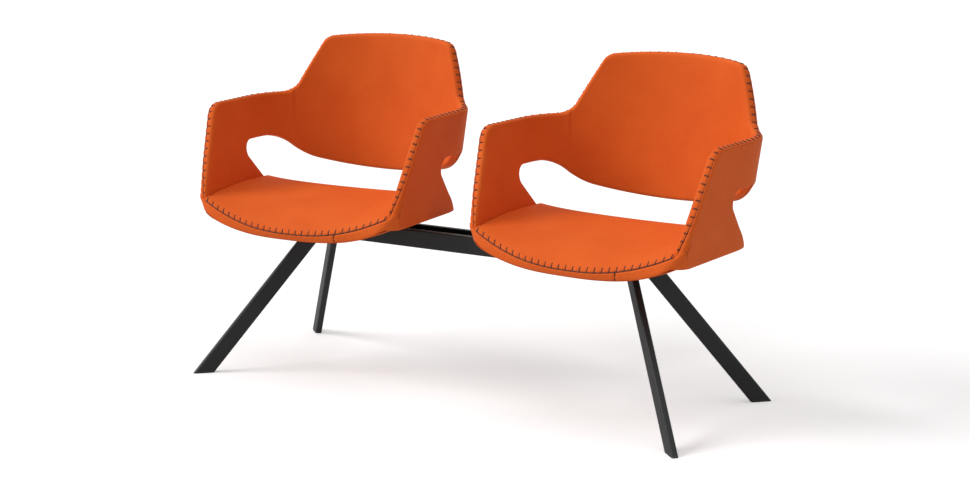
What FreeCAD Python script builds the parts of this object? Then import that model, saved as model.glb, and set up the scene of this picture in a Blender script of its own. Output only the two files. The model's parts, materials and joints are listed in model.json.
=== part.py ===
import FreeCAD, Part
import math
import os

from FreeCAD import Vector

# Beam seating: two upholstered tub seats on one steel beam with four splayed legs.
# Millimetres, +Z up, floor at z = 0. X runs along the beam and the seats face -Y.
# Seat pieces are described round the seat's own centre line (x = 0) and then moved
# half a pitch to each side. The whole bench is centred on the origin at the end.

# Layout of the bench
SEAT_PITCH = 795.0
SEAT_TURN = 3.25
SEAT_LEVEL = 445.0
FIT_GAP = 0.4

# Plan of the seat shell's inner face at seat level: straight sides, two corner arcs
# and a wide arc behind the sitter. Above seat level the wall leans outwards.
SHELL_HALF_WIDTH = 261.5
SHELL_BACK_Y = 230.0
BACK_PLAN_RADIUS = 327.0
CORNER_PLAN_RADIUS = 140.0
WALL_LEAN = 0.134

# Outer edge of the shell on its unrolled wall, from the back's centre to the arm front
BACK_TOP_LEVEL = 824.0
CROWN_RADIUS = 1350.0
CROWN_SLOPE = 6.2
TOP_CORNER_RADIUS = 35.0
SHOULDER_SLOPE = 61.0
SHOULDER_RADIUS = 43.0
ARM_TOP_LEVEL = 673.0
ARM_TOP_LENGTH = 221.0
ARM_CORNER_RADIUS = 45.0
ARM_FRONT_RAKE = 23.3
SHELL_BOTTOM_LEVEL = 417.0

# Inner edge of the shell: the opening below the back and under the arms
OPENING_TOP_LEVEL = 564.5
OPENING_SLOPE_LOW = 14.9
OPENING_SLOPE_HIGH = 45.8
OPENING_BACK_RADIUS = 733.0
OPENING_SWEEP_RADIUS = 136.0
OPENING_BROW_RADIUS = 97.5
OPENING_TOP_LENGTH = 59.0
OPENING_FRONT_RADIUS = 26.5
OPENING_DIAGONAL_SLOPE = 46.7

# Layers of the shell, from the sitter outwards
SHELL_THICKNESS = 24.0
INNER_PAD_THICKNESS = 8.0
CORE_THICKNESS = 7.0
RIM_LIP = 7.0
INNER_RIM_RADIUS = 8.0
OUTER_RIM_RADIUS = 4.0
SEAM_DEPTH = 18.5

# Seat: waterfall front that drops and bulges at the middle
SEAT_REAR_Y = 66.0
SEAT_FRONT_CORNER_Y = -219.0
SEAT_FRONT_BULGE = 26.0
SEAT_KNEE_Y = -125.0
SEAT_TOP_SIDE_LEVEL = 459.0
SEAT_TOP_DISH = 6.0
SEAT_KNEE_DROP = 6.0
SEAM_SIDE_LEVEL = 443.0
SEAM_MIDDLE_DROP = 56.0
SEAM_DROP_POWER = 2.4
CUSHION_REAR_RADIUS = 11.0
CUSHION_CROWN = 3.0
WATERFALL_CROWN = 7.0
LIP_RADIUS = 6.0
FACING_THICKNESS = 8.0
FACING_BULGE = 2.5
FACING_BOTTOM_CORNER_Y = -229.0
FACING_BOTTOM_BULGE = 8.0
FACING_TOP_RADIUS = 16.0
FACING_BOTTOM_RADIUS = 80.0
NOTCH_INBOARD = 20.0
NOTCH_REACH = 90.0

# Seat pan: moulded plywood board over a thin underside cover
PAN_FLAT_HALF_WIDTH = 150.0
PAN_FLAT_LEVEL = 405.0
PAN_SIDE_RISE = 10.7
PAN_FRONT_DROP = 35.0
PAN_DROP_POWER = 2.9
PAN_FRONT_RISE_Y = -190.0
COVER_THICKNESS = 3.0
COVER_REAR_INSET = 12.0
BOARD_THICKNESS = 10.0
BOARD_FRONT_Y = -185.0
BOARD_REAR_Y = 50.0
CUSHION_BOARD_GAP = 1.6

# Beam: lipped steel channel, open upwards
BEAM_TOP_LEVEL = 386.0
BEAM_DEPTH = 80.0
BEAM_HEIGHT = 44.0
BEAM_WALL = 3.0
BEAM_LIP = 15.0
BEAM_BEND_RADIUS = 3.5
BEAM_END_INSET = 18.0

# Legs: flat oval tubes that lean along the diagonals and would meet on the beam's axis
LEG_APEX_OUTSET = 5.0
LEG_APEX_LEVEL = 430.0
LEG_SPREAD_X = 255.0
LEG_FOOT_Y = 246.0
LEG_TUBE_WIDTH = 40.0
LEG_TUBE_THICKNESS = 17.0
LEG_TUBE_RADIUS = 5.0
LEG_TUBE_WALL = 2.0
LEG_TOP_LEVEL = 376.0
GLIDE_SOLE = 4.0
GLIDE_PLUG = 18.0

# Leg heads: cast blocks at the beam's ends that hold two legs each
HEAD_LENGTH = 100.0
HEAD_WIDTH = 156.0
HEAD_HEIGHT = 41.0
HEAD_CORNER_RADIUS = 14.0
HEAD_TONGUE = 45.0
HEAD_TONGUE_GAP = 0.3

# Seat mounting: spacer bars across the beam and a steel plate below each seat
SPACER_HEIGHT = 11.0
SPACER_WIDTH = 30.0
SPACER_LENGTH = 120.0
SPACER_INNER_OFFSET = -85.0
SPACER_OUTER_OFFSET = 35.0
PLATE_THICKNESS = 5.0
PLATE_HALF_WIDTH = 130.0
PLATE_FRONT_Y = -150.0
PLATE_REAR_Y = 55.0
PLATE_CORNER_RADIUS = 15.0

# Fasteners
SEAT_BOLT_SHANK = 6.0
SEAT_BOLT_X = 110.0
SEAT_BOLT_FRONT_Y = -130.0
SEAT_BOLT_REAR_Y = 35.0
TEE_NUT_BARREL = 8.0
TEE_NUT_FLANGE = 18.0
TEE_NUT_FLANGE_THICKNESS = 1.2
BEAM_BOLT_SHANK = 8.0
BEAM_BOLT_HALF_SPACING = 32.5
HEAD_BOLT_SHANK = 8.0
HEAD_BOLT_FIRST = 14.0
HEAD_BOLT_SPACING = 20.0
CORE_SCREW_SHANK = 4.0
CORE_SCREW_LENGTH = 34.0
CORE_SCREW_YS = (-150.0, -65.0, 20.0)
HOLE_CLEARANCE = 0.5

# Blanket stitching along the shell's rim and the seat's front
STITCH_PITCH = 19.0
STITCH_LENGTH = 10.0
STITCH_THREAD = 1.6

SIDES = (("left", -1), ("right", 1))


def plan_angle_of_corner():
    """Angle round the back at which the wide arc hands over to the corner arc."""
    run = SHELL_HALF_WIDTH - CORNER_PLAN_RADIUS
    return math.asin(run / (BACK_PLAN_RADIUS - CORNER_PLAN_RADIUS))


def side_start():
    """Unrolled distance from the back's centre and y where the straight side starts."""
    turn = plan_angle_of_corner()
    unrolled = BACK_PLAN_RADIUS * turn + CORNER_PLAN_RADIUS * (math.pi / 2 - turn)
    drop = (BACK_PLAN_RADIUS - CORNER_PLAN_RADIUS) * math.cos(turn)
    return unrolled, SHELL_BACK_Y - BACK_PLAN_RADIUS + drop


def plan_point(w):
    """Point and outward normal of the plan at the unrolled distance w."""
    turn = plan_angle_of_corner()
    wide_end = BACK_PLAN_RADIUS * turn
    side_w, side_y = side_start()
    if w <= wide_end:
        a = w / BACK_PLAN_RADIUS
        centre_y = SHELL_BACK_Y - BACK_PLAN_RADIUS
        x = BACK_PLAN_RADIUS * math.sin(a)
        y = centre_y + BACK_PLAN_RADIUS * math.cos(a)
        return x, y, math.sin(a), math.cos(a)
    if w <= side_w:
        a = turn + (w - wide_end) / CORNER_PLAN_RADIUS
        centre_x = SHELL_HALF_WIDTH - CORNER_PLAN_RADIUS
        x = centre_x + CORNER_PLAN_RADIUS * math.sin(a)
        y = side_y + CORNER_PLAN_RADIUS * math.cos(a)
        return x, y, math.sin(a), math.cos(a)
    return SHELL_HALF_WIDTH, side_y - (w - side_w), 1.0, 0.0


def wall_point(w, z):
    """Point on the leaning inner face, and the wall's outward normal there."""
    x, y, nx, ny = plan_point(w)
    out = WALL_LEAN * (z - SEAT_LEVEL)
    normal = Vector(nx, ny, -WALL_LEAN)
    normal.normalize()
    return Vector(x + nx * out, y + ny * out, z), normal


def side_x(z):
    """Half width between the arms at the height z."""
    return SHELL_HALF_WIDTH + WALL_LEAN * (z - SEAT_LEVEL)


class Outline:
    """Tangent lines and arcs on the unrolled wall, drawn from the centre outwards."""

    def __init__(self, z):
        self.w, self.z, self.heading = 0.0, z, 0.0
        self.pieces = []

    def line(self, length):
        self.pieces.append((self.w, self.z, self.heading, length, 0.0))
        self.w, self.z, self.heading = self.along(len(self.pieces) - 1, 1.0)

    def line_to_level(self, z):
        self.line((z - self.z) / math.sin(self.heading))

    def arc(self, radius, turn):
        turn = math.radians(turn)
        self.pieces.append((self.w, self.z, self.heading, radius * abs(turn), turn))
        self.w, self.z, self.heading = self.along(len(self.pieces) - 1, 1.0)

    def along(self, index, share):
        w, z, heading, length, turn = self.pieces[index]
        if turn == 0.0:
            return w + length * share * math.cos(heading), z + length * share * math.sin(heading), heading
        radius = length / turn
        end = heading + turn * share
        return (w + radius * (math.sin(end) - math.sin(heading)),
                z - radius * (math.cos(end) - math.cos(heading)), end)

    def point(self, station):
        index = min(int(station), len(self.pieces) - 1)
        return self.along(index, station - index)[:2]


def outer_outline():
    """Back top, shoulder, arm top and arm front."""
    path = Outline(BACK_TOP_LEVEL)
    path.arc(CROWN_RADIUS, -CROWN_SLOPE)
    path.arc(TOP_CORNER_RADIUS, CROWN_SLOPE - SHOULDER_SLOPE)
    slope = math.radians(SHOULDER_SLOPE)
    path.line_to_level(ARM_TOP_LEVEL + SHOULDER_RADIUS * (1 - math.cos(slope)))
    path.arc(SHOULDER_RADIUS, SHOULDER_SLOPE)
    path.line(ARM_TOP_LENGTH)
    path.arc(ARM_CORNER_RADIUS, ARM_FRONT_RAKE - 90.0)
    path.line_to_level(SHELL_BOTTOM_LEVEL)
    return path


def inner_outline():
    """Lower edge of the back, brow under the arm, round front end and diagonal."""
    low = math.cos(math.radians(OPENING_SLOPE_LOW))
    high = math.cos(math.radians(OPENING_SLOPE_HIGH))
    rise = OPENING_BACK_RADIUS * (1 - low) + OPENING_SWEEP_RADIUS * (low - high)
    rise += OPENING_BROW_RADIUS * (1 - high)
    path = Outline(OPENING_TOP_LEVEL - rise)
    path.arc(OPENING_BACK_RADIUS, OPENING_SLOPE_LOW)
    path.arc(OPENING_SWEEP_RADIUS, OPENING_SLOPE_HIGH - OPENING_SLOPE_LOW)
    path.arc(OPENING_BROW_RADIUS, -OPENING_SLOPE_HIGH)
    path.line(OPENING_TOP_LENGTH)
    path.arc(OPENING_FRONT_RADIUS, OPENING_DIAGONAL_SLOPE - 180.0)
    path.line_to_level(SHELL_BOTTOM_LEVEL)
    return path


def rung_stations():
    """Pairs of outer and inner stations from the back's centre to the arm front's bottom."""
    keys = ((0.0, 0.0, 0), (1.0, 0.72, 4), (2.0, 0.87, 2), (3.0, 1.6, 3), (4.0, 2.45, 3),
            (4.5, 3.0, 2), (5.0, 4.1, 3), (6.0, 4.6, 4), (7.0, 6.0, 6))
    stations = [keys[0][:2]]
    for (outer_a, inner_a, _), (outer_b, inner_b, steps) in zip(keys, keys[1:]):
        for step in range(1, steps + 1):
            share = step / steps
            outer = outer_a + (outer_b - outer_a) * share
            inner = inner_a + (inner_b - inner_a) * share
            stations.append((outer, inner))
    return stations


class Rung:
    """Local frame across the shell: s from the opening to the rim, t outwards."""

    def __init__(self, outer, inner, side):
        top, top_normal = wall_point(*outer)
        base, base_normal = wall_point(*inner)
        along = top - base
        self.length = along.Length
        along.normalize()
        out = top_normal + base_normal
        out = out - along * out.dot(along)
        out.normalize()
        flip = Vector(side, 1, 1)
        self.base = scale(base, flip)
        self.along = scale(along, flip)
        self.out = scale(out, flip)

    def at(self, s, t):
        return self.base + self.along * s + self.out * t


def scale(vector, factors):
    return Vector(vector.x * factors.x, vector.y * factors.y, vector.z * factors.z)


def shell_rungs():
    """All rungs from the left arm's bottom over the back to the right arm's bottom."""
    outer, inner = outer_outline(), inner_outline()
    stations = rung_stations()
    rungs = []
    for side, order in ((-1, reversed(stations[1:])), (1, stations)):
        for outer_station, inner_station in order:
            rungs.append(Rung(outer.point(outer_station), inner.point(inner_station), side))
    return rungs


def closed_wire(points):
    """Closed wire from corner points; a triple in the list is an arc start, mid and end."""
    edges = []
    count = len(points)
    for index in range(count):
        here = points[index]
        after = points[(index + 1) % count]
        start = here[-1] if isinstance(here, tuple) else here
        end = after[0] if isinstance(after, tuple) else after
        if isinstance(here, tuple):
            edges.append(Part.Arc(here[0], here[1], here[2]).toShape())
        if (end - start).Length > 1e-6:
            edges.append(Part.LineSegment(start, end).toShape())
    return Part.Wire(edges)


def quarter(place, cs, ct, radius, from_angle, to_angle):
    """Arc of a rounded corner in a local frame, as start, mid and end points."""
    points = []
    for share in (0.0, 0.5, 1.0):
        angle = math.radians(from_angle + (to_angle - from_angle) * share)
        points.append(place(cs + radius * math.cos(angle), ct + radius * math.sin(angle)))
    return tuple(points)


def inner_pad_section(rung):
    """Soft layer on the sitter's side that wraps both rims up to the seam."""
    p, length, r = rung.at, rung.length, INNER_RIM_RADIUS
    return closed_wire([
        p(0, SEAM_DEPTH),
        quarter(p, r, r, r, 180, 270),
        quarter(p, length - r, r, r, 270, 360),
        p(length, SEAM_DEPTH),
        p(length - RIM_LIP, SEAM_DEPTH),
        p(length - RIM_LIP, INNER_PAD_THICKNESS),
        p(RIM_LIP, INNER_PAD_THICKNESS),
        p(RIM_LIP, SEAM_DEPTH),
    ])


def core_section(rung):
    """Moulded plywood core."""
    p, edge = rung.at, RIM_LIP + FIT_GAP
    low = INNER_PAD_THICKNESS + FIT_GAP
    high = low + CORE_THICKNESS
    far = rung.length - edge
    return closed_wire([p(edge, low), p(far, low), p(far, high), p(edge, high)])


def outer_pad_section(rung):
    """Outer cover on its thin pad, from the seam on one rim to the seam on the other."""
    p, length, r = rung.at, rung.length, OUTER_RIM_RADIUS
    seam = SEAM_DEPTH + FIT_GAP
    low = INNER_PAD_THICKNESS + CORE_THICKNESS + 2 * FIT_GAP
    lip = RIM_LIP + FIT_GAP
    return closed_wire([
        p(lip, low),
        p(length - lip, low),
        p(length - lip, seam),
        p(length, seam),
        quarter(p, length - r, SHELL_THICKNESS - r, r, 0, 90),
        quarter(p, r, SHELL_THICKNESS - r, r, 90, 180),
        p(0, seam),
        p(lip, seam),
    ])


def loft(wires, ruled=False):
    solid = Part.makeLoft(wires, True, ruled)
    if solid.Volume < 0:
        solid.reverse()
    return solid


def strip(section, rungs):
    return loft([section(rung) for rung in rungs])


def outer_side_x(z):
    """Half width over the outer faces of the arms at the height z."""
    return side_x(z) + SHELL_THICKNESS * math.hypot(1.0, WALL_LEAN)


class FrontEdge:
    """Bowed front edge in plan, rounded into the outer faces of the arms."""

    def __init__(self, corner_y, bulge, radius, level):
        self.corner_y, self.bulge, self.radius = corner_y, bulge, radius
        self.half = seat_half_width()
        self.corner_turn = self.bow_turn(self.half)
        self.centre_x = outer_side_x(level) - radius
        rise = math.tan(self.corner_turn) * (self.centre_x - self.half)
        self.centre_y = corner_y + rise + radius / math.cos(self.corner_turn)

    def bow_turn(self, x):
        return math.atan(2 * self.bulge * x / self.half ** 2)

    def at(self, x):
        """Place along Y and turn of the edge at the distance x from the middle."""
        reach = abs(x) - self.centre_x
        if reach <= self.radius * math.sin(self.corner_turn):
            return self.corner_y - self.bulge * (1 - (x / self.half) ** 2), self.bow_turn(x)
        turn = math.asin(min(1.0, reach / self.radius))
        return self.centre_y - self.radius * math.cos(turn), math.copysign(turn, x)

    def round_corner(self, share):
        """Distance from the middle at a share of the turn still left beyond the seat's half width."""
        start = self.at(self.half)[1]
        turn = start + (math.pi / 2 - start) * share
        return self.half + (math.sin(turn) - math.sin(start)) / (1 - math.sin(start)) * (
            self.centre_x + self.radius - self.half)


def seam_edge():
    return FrontEdge(SEAT_FRONT_CORNER_Y, SEAT_FRONT_BULGE, FACING_TOP_RADIUS, SEAM_SIDE_LEVEL)


def bottom_edge():
    return FrontEdge(FACING_BOTTOM_CORNER_Y, FACING_BOTTOM_BULGE, FACING_BOTTOM_RADIUS, SHELL_BOTTOM_LEVEL)


def seat_seam_y(u):
    return seam_edge().at(u * seat_half_width())[0]


def seat_seam_z(u):
    return SEAM_SIDE_LEVEL - SEAM_MIDDLE_DROP * (1 - abs(u) ** SEAM_DROP_POWER)


def facing_bottom_y(u):
    return bottom_edge().at(u * seat_half_width())[0]


def pan_level(x):
    """Top of the underside cover behind the front curve."""
    reach = side_x(PAN_FLAT_LEVEL) + SHELL_THICKNESS - PAN_FLAT_HALF_WIDTH
    beyond = max(0.0, abs(x) - PAN_FLAT_HALF_WIDTH) / reach
    return PAN_FLAT_LEVEL + PAN_SIDE_RISE * beyond ** 2


def pan_front_level(u):
    side = PAN_FLAT_LEVEL + PAN_SIDE_RISE
    return side - (PAN_FRONT_DROP + PAN_SIDE_RISE) * (1 - min(1.0, abs(u)) ** PAN_DROP_POWER)


def seat_half_width():
    """Half width of what lies between the arms at seat level."""
    return SHELL_HALF_WIDTH - FIT_GAP


def seat_place(u):
    """Places (y, z) in the leaning plane at the share u of the seat's half width."""
    def place(y, z):
        return Vector(u * (side_x(z) - FIT_GAP), y, z)
    return place


def crown_arc(place, start, end, crown):
    """Arc between two (y, z) points that stands crown high over its chord."""
    mid_y, mid_z = (start[0] + end[0]) / 2, (start[1] + end[1]) / 2
    dy, dz = end[0] - start[0], end[1] - start[1]
    span = math.hypot(dy, dz)
    normal = (dz / span, -dy / span)
    return (place(*start), place(mid_y + normal[0] * crown, mid_z + normal[1] * crown), place(*end))


def cushion_section(u):
    place = seat_place(u)
    rear_level = SEAT_TOP_SIDE_LEVEL - SEAT_TOP_DISH * (1 - u * u)
    knee_level = rear_level - 2 * SEAT_KNEE_DROP * (1 - u * u)
    seam_y, seam_z = seat_seam_y(u), seat_seam_z(u)
    r = CUSHION_REAR_RADIUS
    bed = pan_level(u * seat_half_width()) + BOARD_THICKNESS + CUSHION_BOARD_GAP
    nose = pan_front_level(u) + COVER_THICKNESS + FIT_GAP
    behind_facing = FACING_THICKNESS + FIT_GAP
    lip = (seam_y + LIP_RADIUS * 0.7, seam_z + LIP_RADIUS)
    rear = (SEAT_REAR_Y - r, rear_level)
    knee = (SEAT_KNEE_Y, knee_level)
    return closed_wire([
        place(BOARD_FRONT_Y, bed),
        place(SEAT_REAR_Y, bed),
        quarter(place, SEAT_REAR_Y - r, rear_level - r, r, 0, 90),
        crown_arc(place, rear, knee, CUSHION_CROWN),
        crown_arc(place, knee, lip, WATERFALL_CROWN * (1.2 - 0.4 * u * u)),
        crown_arc(place, lip, (seam_y, seam_z), LIP_RADIUS * 0.2),
        place(seam_y + behind_facing, seam_z),
        place(facing_bottom_y(u) + behind_facing, nose),
    ])


class Post:
    """Upright strip of the front band: its outer bottom and top and the ways inwards."""

    def __init__(self, bottom, top, bottom_turn, top_turn, bulge):
        self.bottom, self.top, self.bulge = bottom, top, bulge
        self.bottom_in = Vector(-math.sin(bottom_turn), math.cos(bottom_turn), 0)
        self.top_in = Vector(-math.sin(top_turn), math.cos(top_turn), 0)

    def shape(self, near, far, below, above):
        """Four-sided section between two depths, longer at both ends by below and above."""
        rise = Vector(0, 0, 1)
        low_near = self.bottom + self.bottom_in * near - rise * below
        low_far = self.bottom + self.bottom_in * far - rise * below
        high_near = self.top + self.top_in * near + rise * above
        high_far = self.top + self.top_in * far + rise * above
        inwards = self.top_in + self.bottom_in
        inwards.normalize()
        mid = (low_near + high_near) * 0.5 - inwards * self.bulge
        return closed_wire([(low_near, mid, high_near), high_far, low_far])


def front_post(u):
    place = seat_place(u)
    top_y, top_turn = seam_edge().at(u * seat_half_width())
    bottom_y, bottom_turn = bottom_edge().at(u * seat_half_width())
    top = place(top_y, seat_seam_z(u) - FIT_GAP)
    bottom = place(bottom_y, pan_front_level(u) + FIT_GAP)
    return Post(bottom, top, bottom_turn, top_turn, FACING_BULGE)


def corner_post(side, share):
    """Strip of the band where it rounds the corner, up to the arm's outer face at share 1."""
    seam, low = seam_edge(), bottom_edge()
    top_x, bottom_x = seam.round_corner(share), low.round_corner(share)
    top_y, top_turn = seam.at(top_x)
    bottom_y, bottom_turn = low.at(bottom_x)
    top_z = seat_seam_z(top_x / seat_half_width()) - FIT_GAP
    bottom_z = pan_front_level(1.0) + FIT_GAP
    top_x += outer_side_x(top_z) - outer_side_x(SEAM_SIDE_LEVEL)
    bottom_x += outer_side_x(bottom_z) - outer_side_x(SHELL_BOTTOM_LEVEL)
    top = Vector(side * top_x, top_y, top_z)
    bottom = Vector(side * bottom_x, bottom_y, bottom_z)
    return Post(bottom, top, side * bottom_turn, side * top_turn, FACING_BULGE * (1.0 - 0.9 * share))


def corner_posts(side):
    return [corner_post(side, share) for share in (0.25, 0.5, 0.75, 1.0)]


def seat_shares(steps):
    return [2.0 * index / steps - 1.0 for index in range(steps + 1)]


def make_cushion():
    return loft([cushion_section(u) for u in seat_shares(14)])


def make_facing():
    """Outer cover in front of the cushion, which wraps round to the arms' outer faces."""
    posts = corner_posts(-1)[::-1] + [front_post(u) for u in seat_shares(14)] + corner_posts(1)
    return loft([post.shape(0, FACING_THICKNESS, 0, 0) for post in posts])


def corner_notch(side):
    """Room for the front band in the shell, open to the front, the outside and below."""
    gap = FACING_THICKNESS + FIT_GAP
    columns = []
    for share in (0.0, 0.45, 1.0):
        post = corner_post(side, share)
        step_back = Vector(0, FIT_GAP if share == 1.0 else 0, 0)
        rise = Vector(0, 0, FIT_GAP)
        low_point = post.bottom + post.bottom_in * gap + step_back
        top_point = post.top + post.top_in * gap + step_back + rise
        columns.append((low_point, top_point))
    start, middle, end = columns
    inboard = Vector(-side * NOTCH_INBOARD, 0, 0)
    outboard = Vector(side * NOTCH_REACH, 0, 0)
    ahead = Vector(0, -NOTCH_REACH, 0)
    slope = (end[1].z - start[1].z) / abs(end[1].x - start[1].x)
    wires = []
    for share in (-1.0, 1.0):
        along = [low + (high - low) * share for low, high in columns]
        first, mid, last = along
        tilt = slope if share == 1.0 else 0.0
        flat = first.z
        ring = [first + inboard, (first, mid, last), last + outboard, last + outboard + ahead,
                first + inboard + ahead]
        level = [(tuple(settle(point, first, flat, tilt) for point in item) if isinstance(item, tuple)
                  else settle(item, first, flat, tilt)) for item in ring]
        wires.append(closed_wire(level))
    return loft(wires, True)


def settle(point, start, level, tilt):
    """The point moved up or down onto a plane that climbs away from the seat's middle."""
    return Vector(point.x, point.y, level + tilt * (abs(point.x) - abs(start.x)))


def notch_corners(pad):
    return pad.cut(corner_notch(-1)).cut(corner_notch(1))


def cover_half_width():
    """The cover ends below the shell's inner pad, out of sight from the side."""
    return side_x(SHELL_BOTTOM_LEVEL) + INNER_PAD_THICKNESS / 2


def make_underside_cover():
    """Thin cover that closes the seat from below, from arm to arm."""
    wires = []
    half = cover_half_width()
    for share in seat_shares(30):
        x = share * half
        u = min(1.0, abs(x) / seat_half_width())
        front_y = bottom_edge().at(x)[0]
        front_z = pan_front_level(u)
        level = pan_level(x)
        line = ((SEAT_REAR_Y - COVER_REAR_INSET, level), (PAN_FRONT_RISE_Y, level), (front_y, front_z))
        upper = [Vector(x, y, z) for y, z in line]
        lower = [Vector(x, y, z - COVER_THICKNESS) for y, z in reversed(line)]
        wires.append(closed_wire(upper + lower))
    cover = loft(wires, True)
    return cover.cut(vertical_pins(seat_bolt_places(), SEAT_BOLT_SHANK + HOLE_CLEARANCE,
                                   PAN_FLAT_LEVEL - 2 * COVER_THICKNESS, PAN_FLAT_LEVEL + 1))


def make_board():
    """Moulded plywood seat board, flat in the middle and raised towards the arms."""
    wires = []
    top_side = side_x(PAN_FLAT_LEVEL) + INNER_PAD_THICKNESS
    for u in seat_shares(20):
        x = u * top_side
        low = pan_level(x) + FIT_GAP
        high = low + BOARD_THICKNESS
        skew = u * WALL_LEAN * BOARD_THICKNESS
        wires.append(closed_wire([
            Vector(x, BOARD_FRONT_Y, low),
            Vector(x, BOARD_REAR_Y, low),
            Vector(x + skew, BOARD_REAR_Y, high),
            Vector(x + skew, BOARD_FRONT_Y, high),
        ]))
    board = loft(wires, True)
    top = PAN_FLAT_LEVEL + BOARD_THICKNESS + 2
    return board.cut(vertical_pins(seat_bolt_places(), TEE_NUT_BARREL, PAN_FLAT_LEVEL, top))


def make_inner_pad(rungs):
    """Inner pad with a notch on each side where the board reaches the core."""
    pad = strip(inner_pad_section, rungs)
    top = SHELL_BOTTOM_LEVEL + BOARD_THICKNESS + 2 * FIT_GAP
    depth = INNER_PAD_THICKNESS + FIT_GAP
    for side in (-1, 1):
        outer_x = side_x(top) + depth
        low_x = SHELL_HALF_WIDTH - SHELL_THICKNESS
        y0 = BOARD_FRONT_Y - FIT_GAP
        y1 = BOARD_REAR_Y + FIT_GAP
        box = Part.makeBox(outer_x - low_x, y1 - y0, top - SHELL_BOTTOM_LEVEL + 10,
                           Vector(min(side * low_x, side * outer_x), y0, SHELL_BOTTOM_LEVEL - 10))
        pad = pad.cut(box)
    return notch_corners(pad)


def seat_bolt_places():
    return [(x, y) for x in (-SEAT_BOLT_X, SEAT_BOLT_X) for y in (SEAT_BOLT_FRONT_Y, SEAT_BOLT_REAR_Y)]


def vertical_pins(places, diameter, low, high):
    """Group of upright cylinders between two levels."""
    pins = [Part.makeCylinder(diameter / 2, high - low, Vector(x, y, low)) for x, y in places]
    return Part.makeCompound(pins)


def hexagon(across, height, base, axis):
    """Hexagonal prism with its base centred on a point."""
    axis = Vector(axis)
    radius = across / math.sqrt(3)
    points = [Vector(radius * math.cos(math.radians(60 * k)), radius * math.sin(math.radians(60 * k)), 0)
              for k in range(6)]
    prism = Part.Face(closed_wire(points)).extrude(Vector(0, 0, height))
    turn = FreeCAD.Rotation(Vector(0, 0, 1), axis)
    prism.Placement = FreeCAD.Placement(base, turn)
    return prism


def hex_bolt(shank, length, base, axis):
    """Hexagon head bolt: base is the underside of the head, axis points along the shank."""
    axis = Vector(axis)
    axis.normalize()
    head_height = 0.65 * shank
    head = hexagon(1.65 * shank, head_height, base - axis * head_height, axis)
    stem = Part.makeCylinder(shank / 2, length, base, axis)
    return head.fuse(stem).removeSplitter()


def hex_nut(shank, base, axis):
    """Nut with its lower face at base, bored for the shank."""
    height = 0.8 * shank
    nut = hexagon(1.65 * shank, height, base, axis)
    bore = Part.makeCylinder(shank / 2, height, base, Vector(axis))
    return nut.cut(bore)


def make_seat_bolts():
    """Bolts that come up through the plate and cover into the tee nuts."""
    plate_low = BEAM_TOP_LEVEL + SPACER_HEIGHT
    length = PAN_FLAT_LEVEL + FIT_GAP + BOARD_THICKNESS - plate_low
    bolts = [hex_bolt(SEAT_BOLT_SHANK, length, Vector(x, y, plate_low), (0, 0, 1))
             for x, y in seat_bolt_places()]
    return Part.makeCompound(bolts)


def make_tee_nuts():
    nuts = []
    low = PAN_FLAT_LEVEL + FIT_GAP
    for x, y in seat_bolt_places():
        barrel = Part.makeCylinder(TEE_NUT_BARREL / 2, BOARD_THICKNESS, Vector(x, y, low))
        flange = Part.makeCylinder(TEE_NUT_FLANGE / 2, TEE_NUT_FLANGE_THICKNESS,
                                   Vector(x, y, low + BOARD_THICKNESS))
        bore = Part.makeCylinder(SEAT_BOLT_SHANK / 2, BOARD_THICKNESS + TEE_NUT_FLANGE_THICKNESS + 2,
                                 Vector(x, y, low - 1))
        nuts.append(barrel.fuse(flange).removeSplitter().cut(bore))
    return Part.makeCompound(nuts)


def core_screw_level():
    half = side_x(PAN_FLAT_LEVEL) + INNER_PAD_THICKNESS
    return pan_level(half) + FIT_GAP + BOARD_THICKNESS / 2


def make_core_screws():
    """Screws through the core into the edges of the seat board."""
    screws = []
    level = core_screw_level()
    head_x = side_x(level) + INNER_PAD_THICKNESS + FIT_GAP + CORE_THICKNESS
    for side in (-1, 1):
        for y in CORE_SCREW_YS:
            start = Vector(side * head_x, y, level)
            axis = Vector(-side, 0, 0)
            stem = Part.makeCylinder(CORE_SCREW_SHANK / 2, CORE_SCREW_LENGTH, start, axis)
            head = Part.makeCone(CORE_SCREW_SHANK, CORE_SCREW_SHANK / 2, CORE_SCREW_SHANK / 2, start, axis)
            screws.append(stem.fuse(head).removeSplitter())
    return Part.makeCompound(screws)


def make_mount_plate():
    """Steel plate below the seat, bolted up into the board and down onto the spacers."""
    low = BEAM_TOP_LEVEL + SPACER_HEIGHT
    plate = Part.makeBox(2 * PLATE_HALF_WIDTH, PLATE_REAR_Y - PLATE_FRONT_Y, PLATE_THICKNESS,
                         Vector(-PLATE_HALF_WIDTH, PLATE_FRONT_Y, low))
    upright = [edge for edge in plate.Edges if abs(edge.tangentAt(edge.FirstParameter).z) > 0.9]
    plate = plate.makeFillet(PLATE_CORNER_RADIUS, upright)
    bore = SEAT_BOLT_SHANK + HOLE_CLEARANCE
    holes = vertical_pins(seat_bolt_places(), bore, low - 1, low + PLATE_THICKNESS + 1)
    return plate.cut(holes)


def spacer_offsets(side):
    """Spacers' x offsets from the seat's centre, towards the beam's middle first."""
    return (side * SPACER_INNER_OFFSET, side * SPACER_OUTER_OFFSET)


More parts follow.
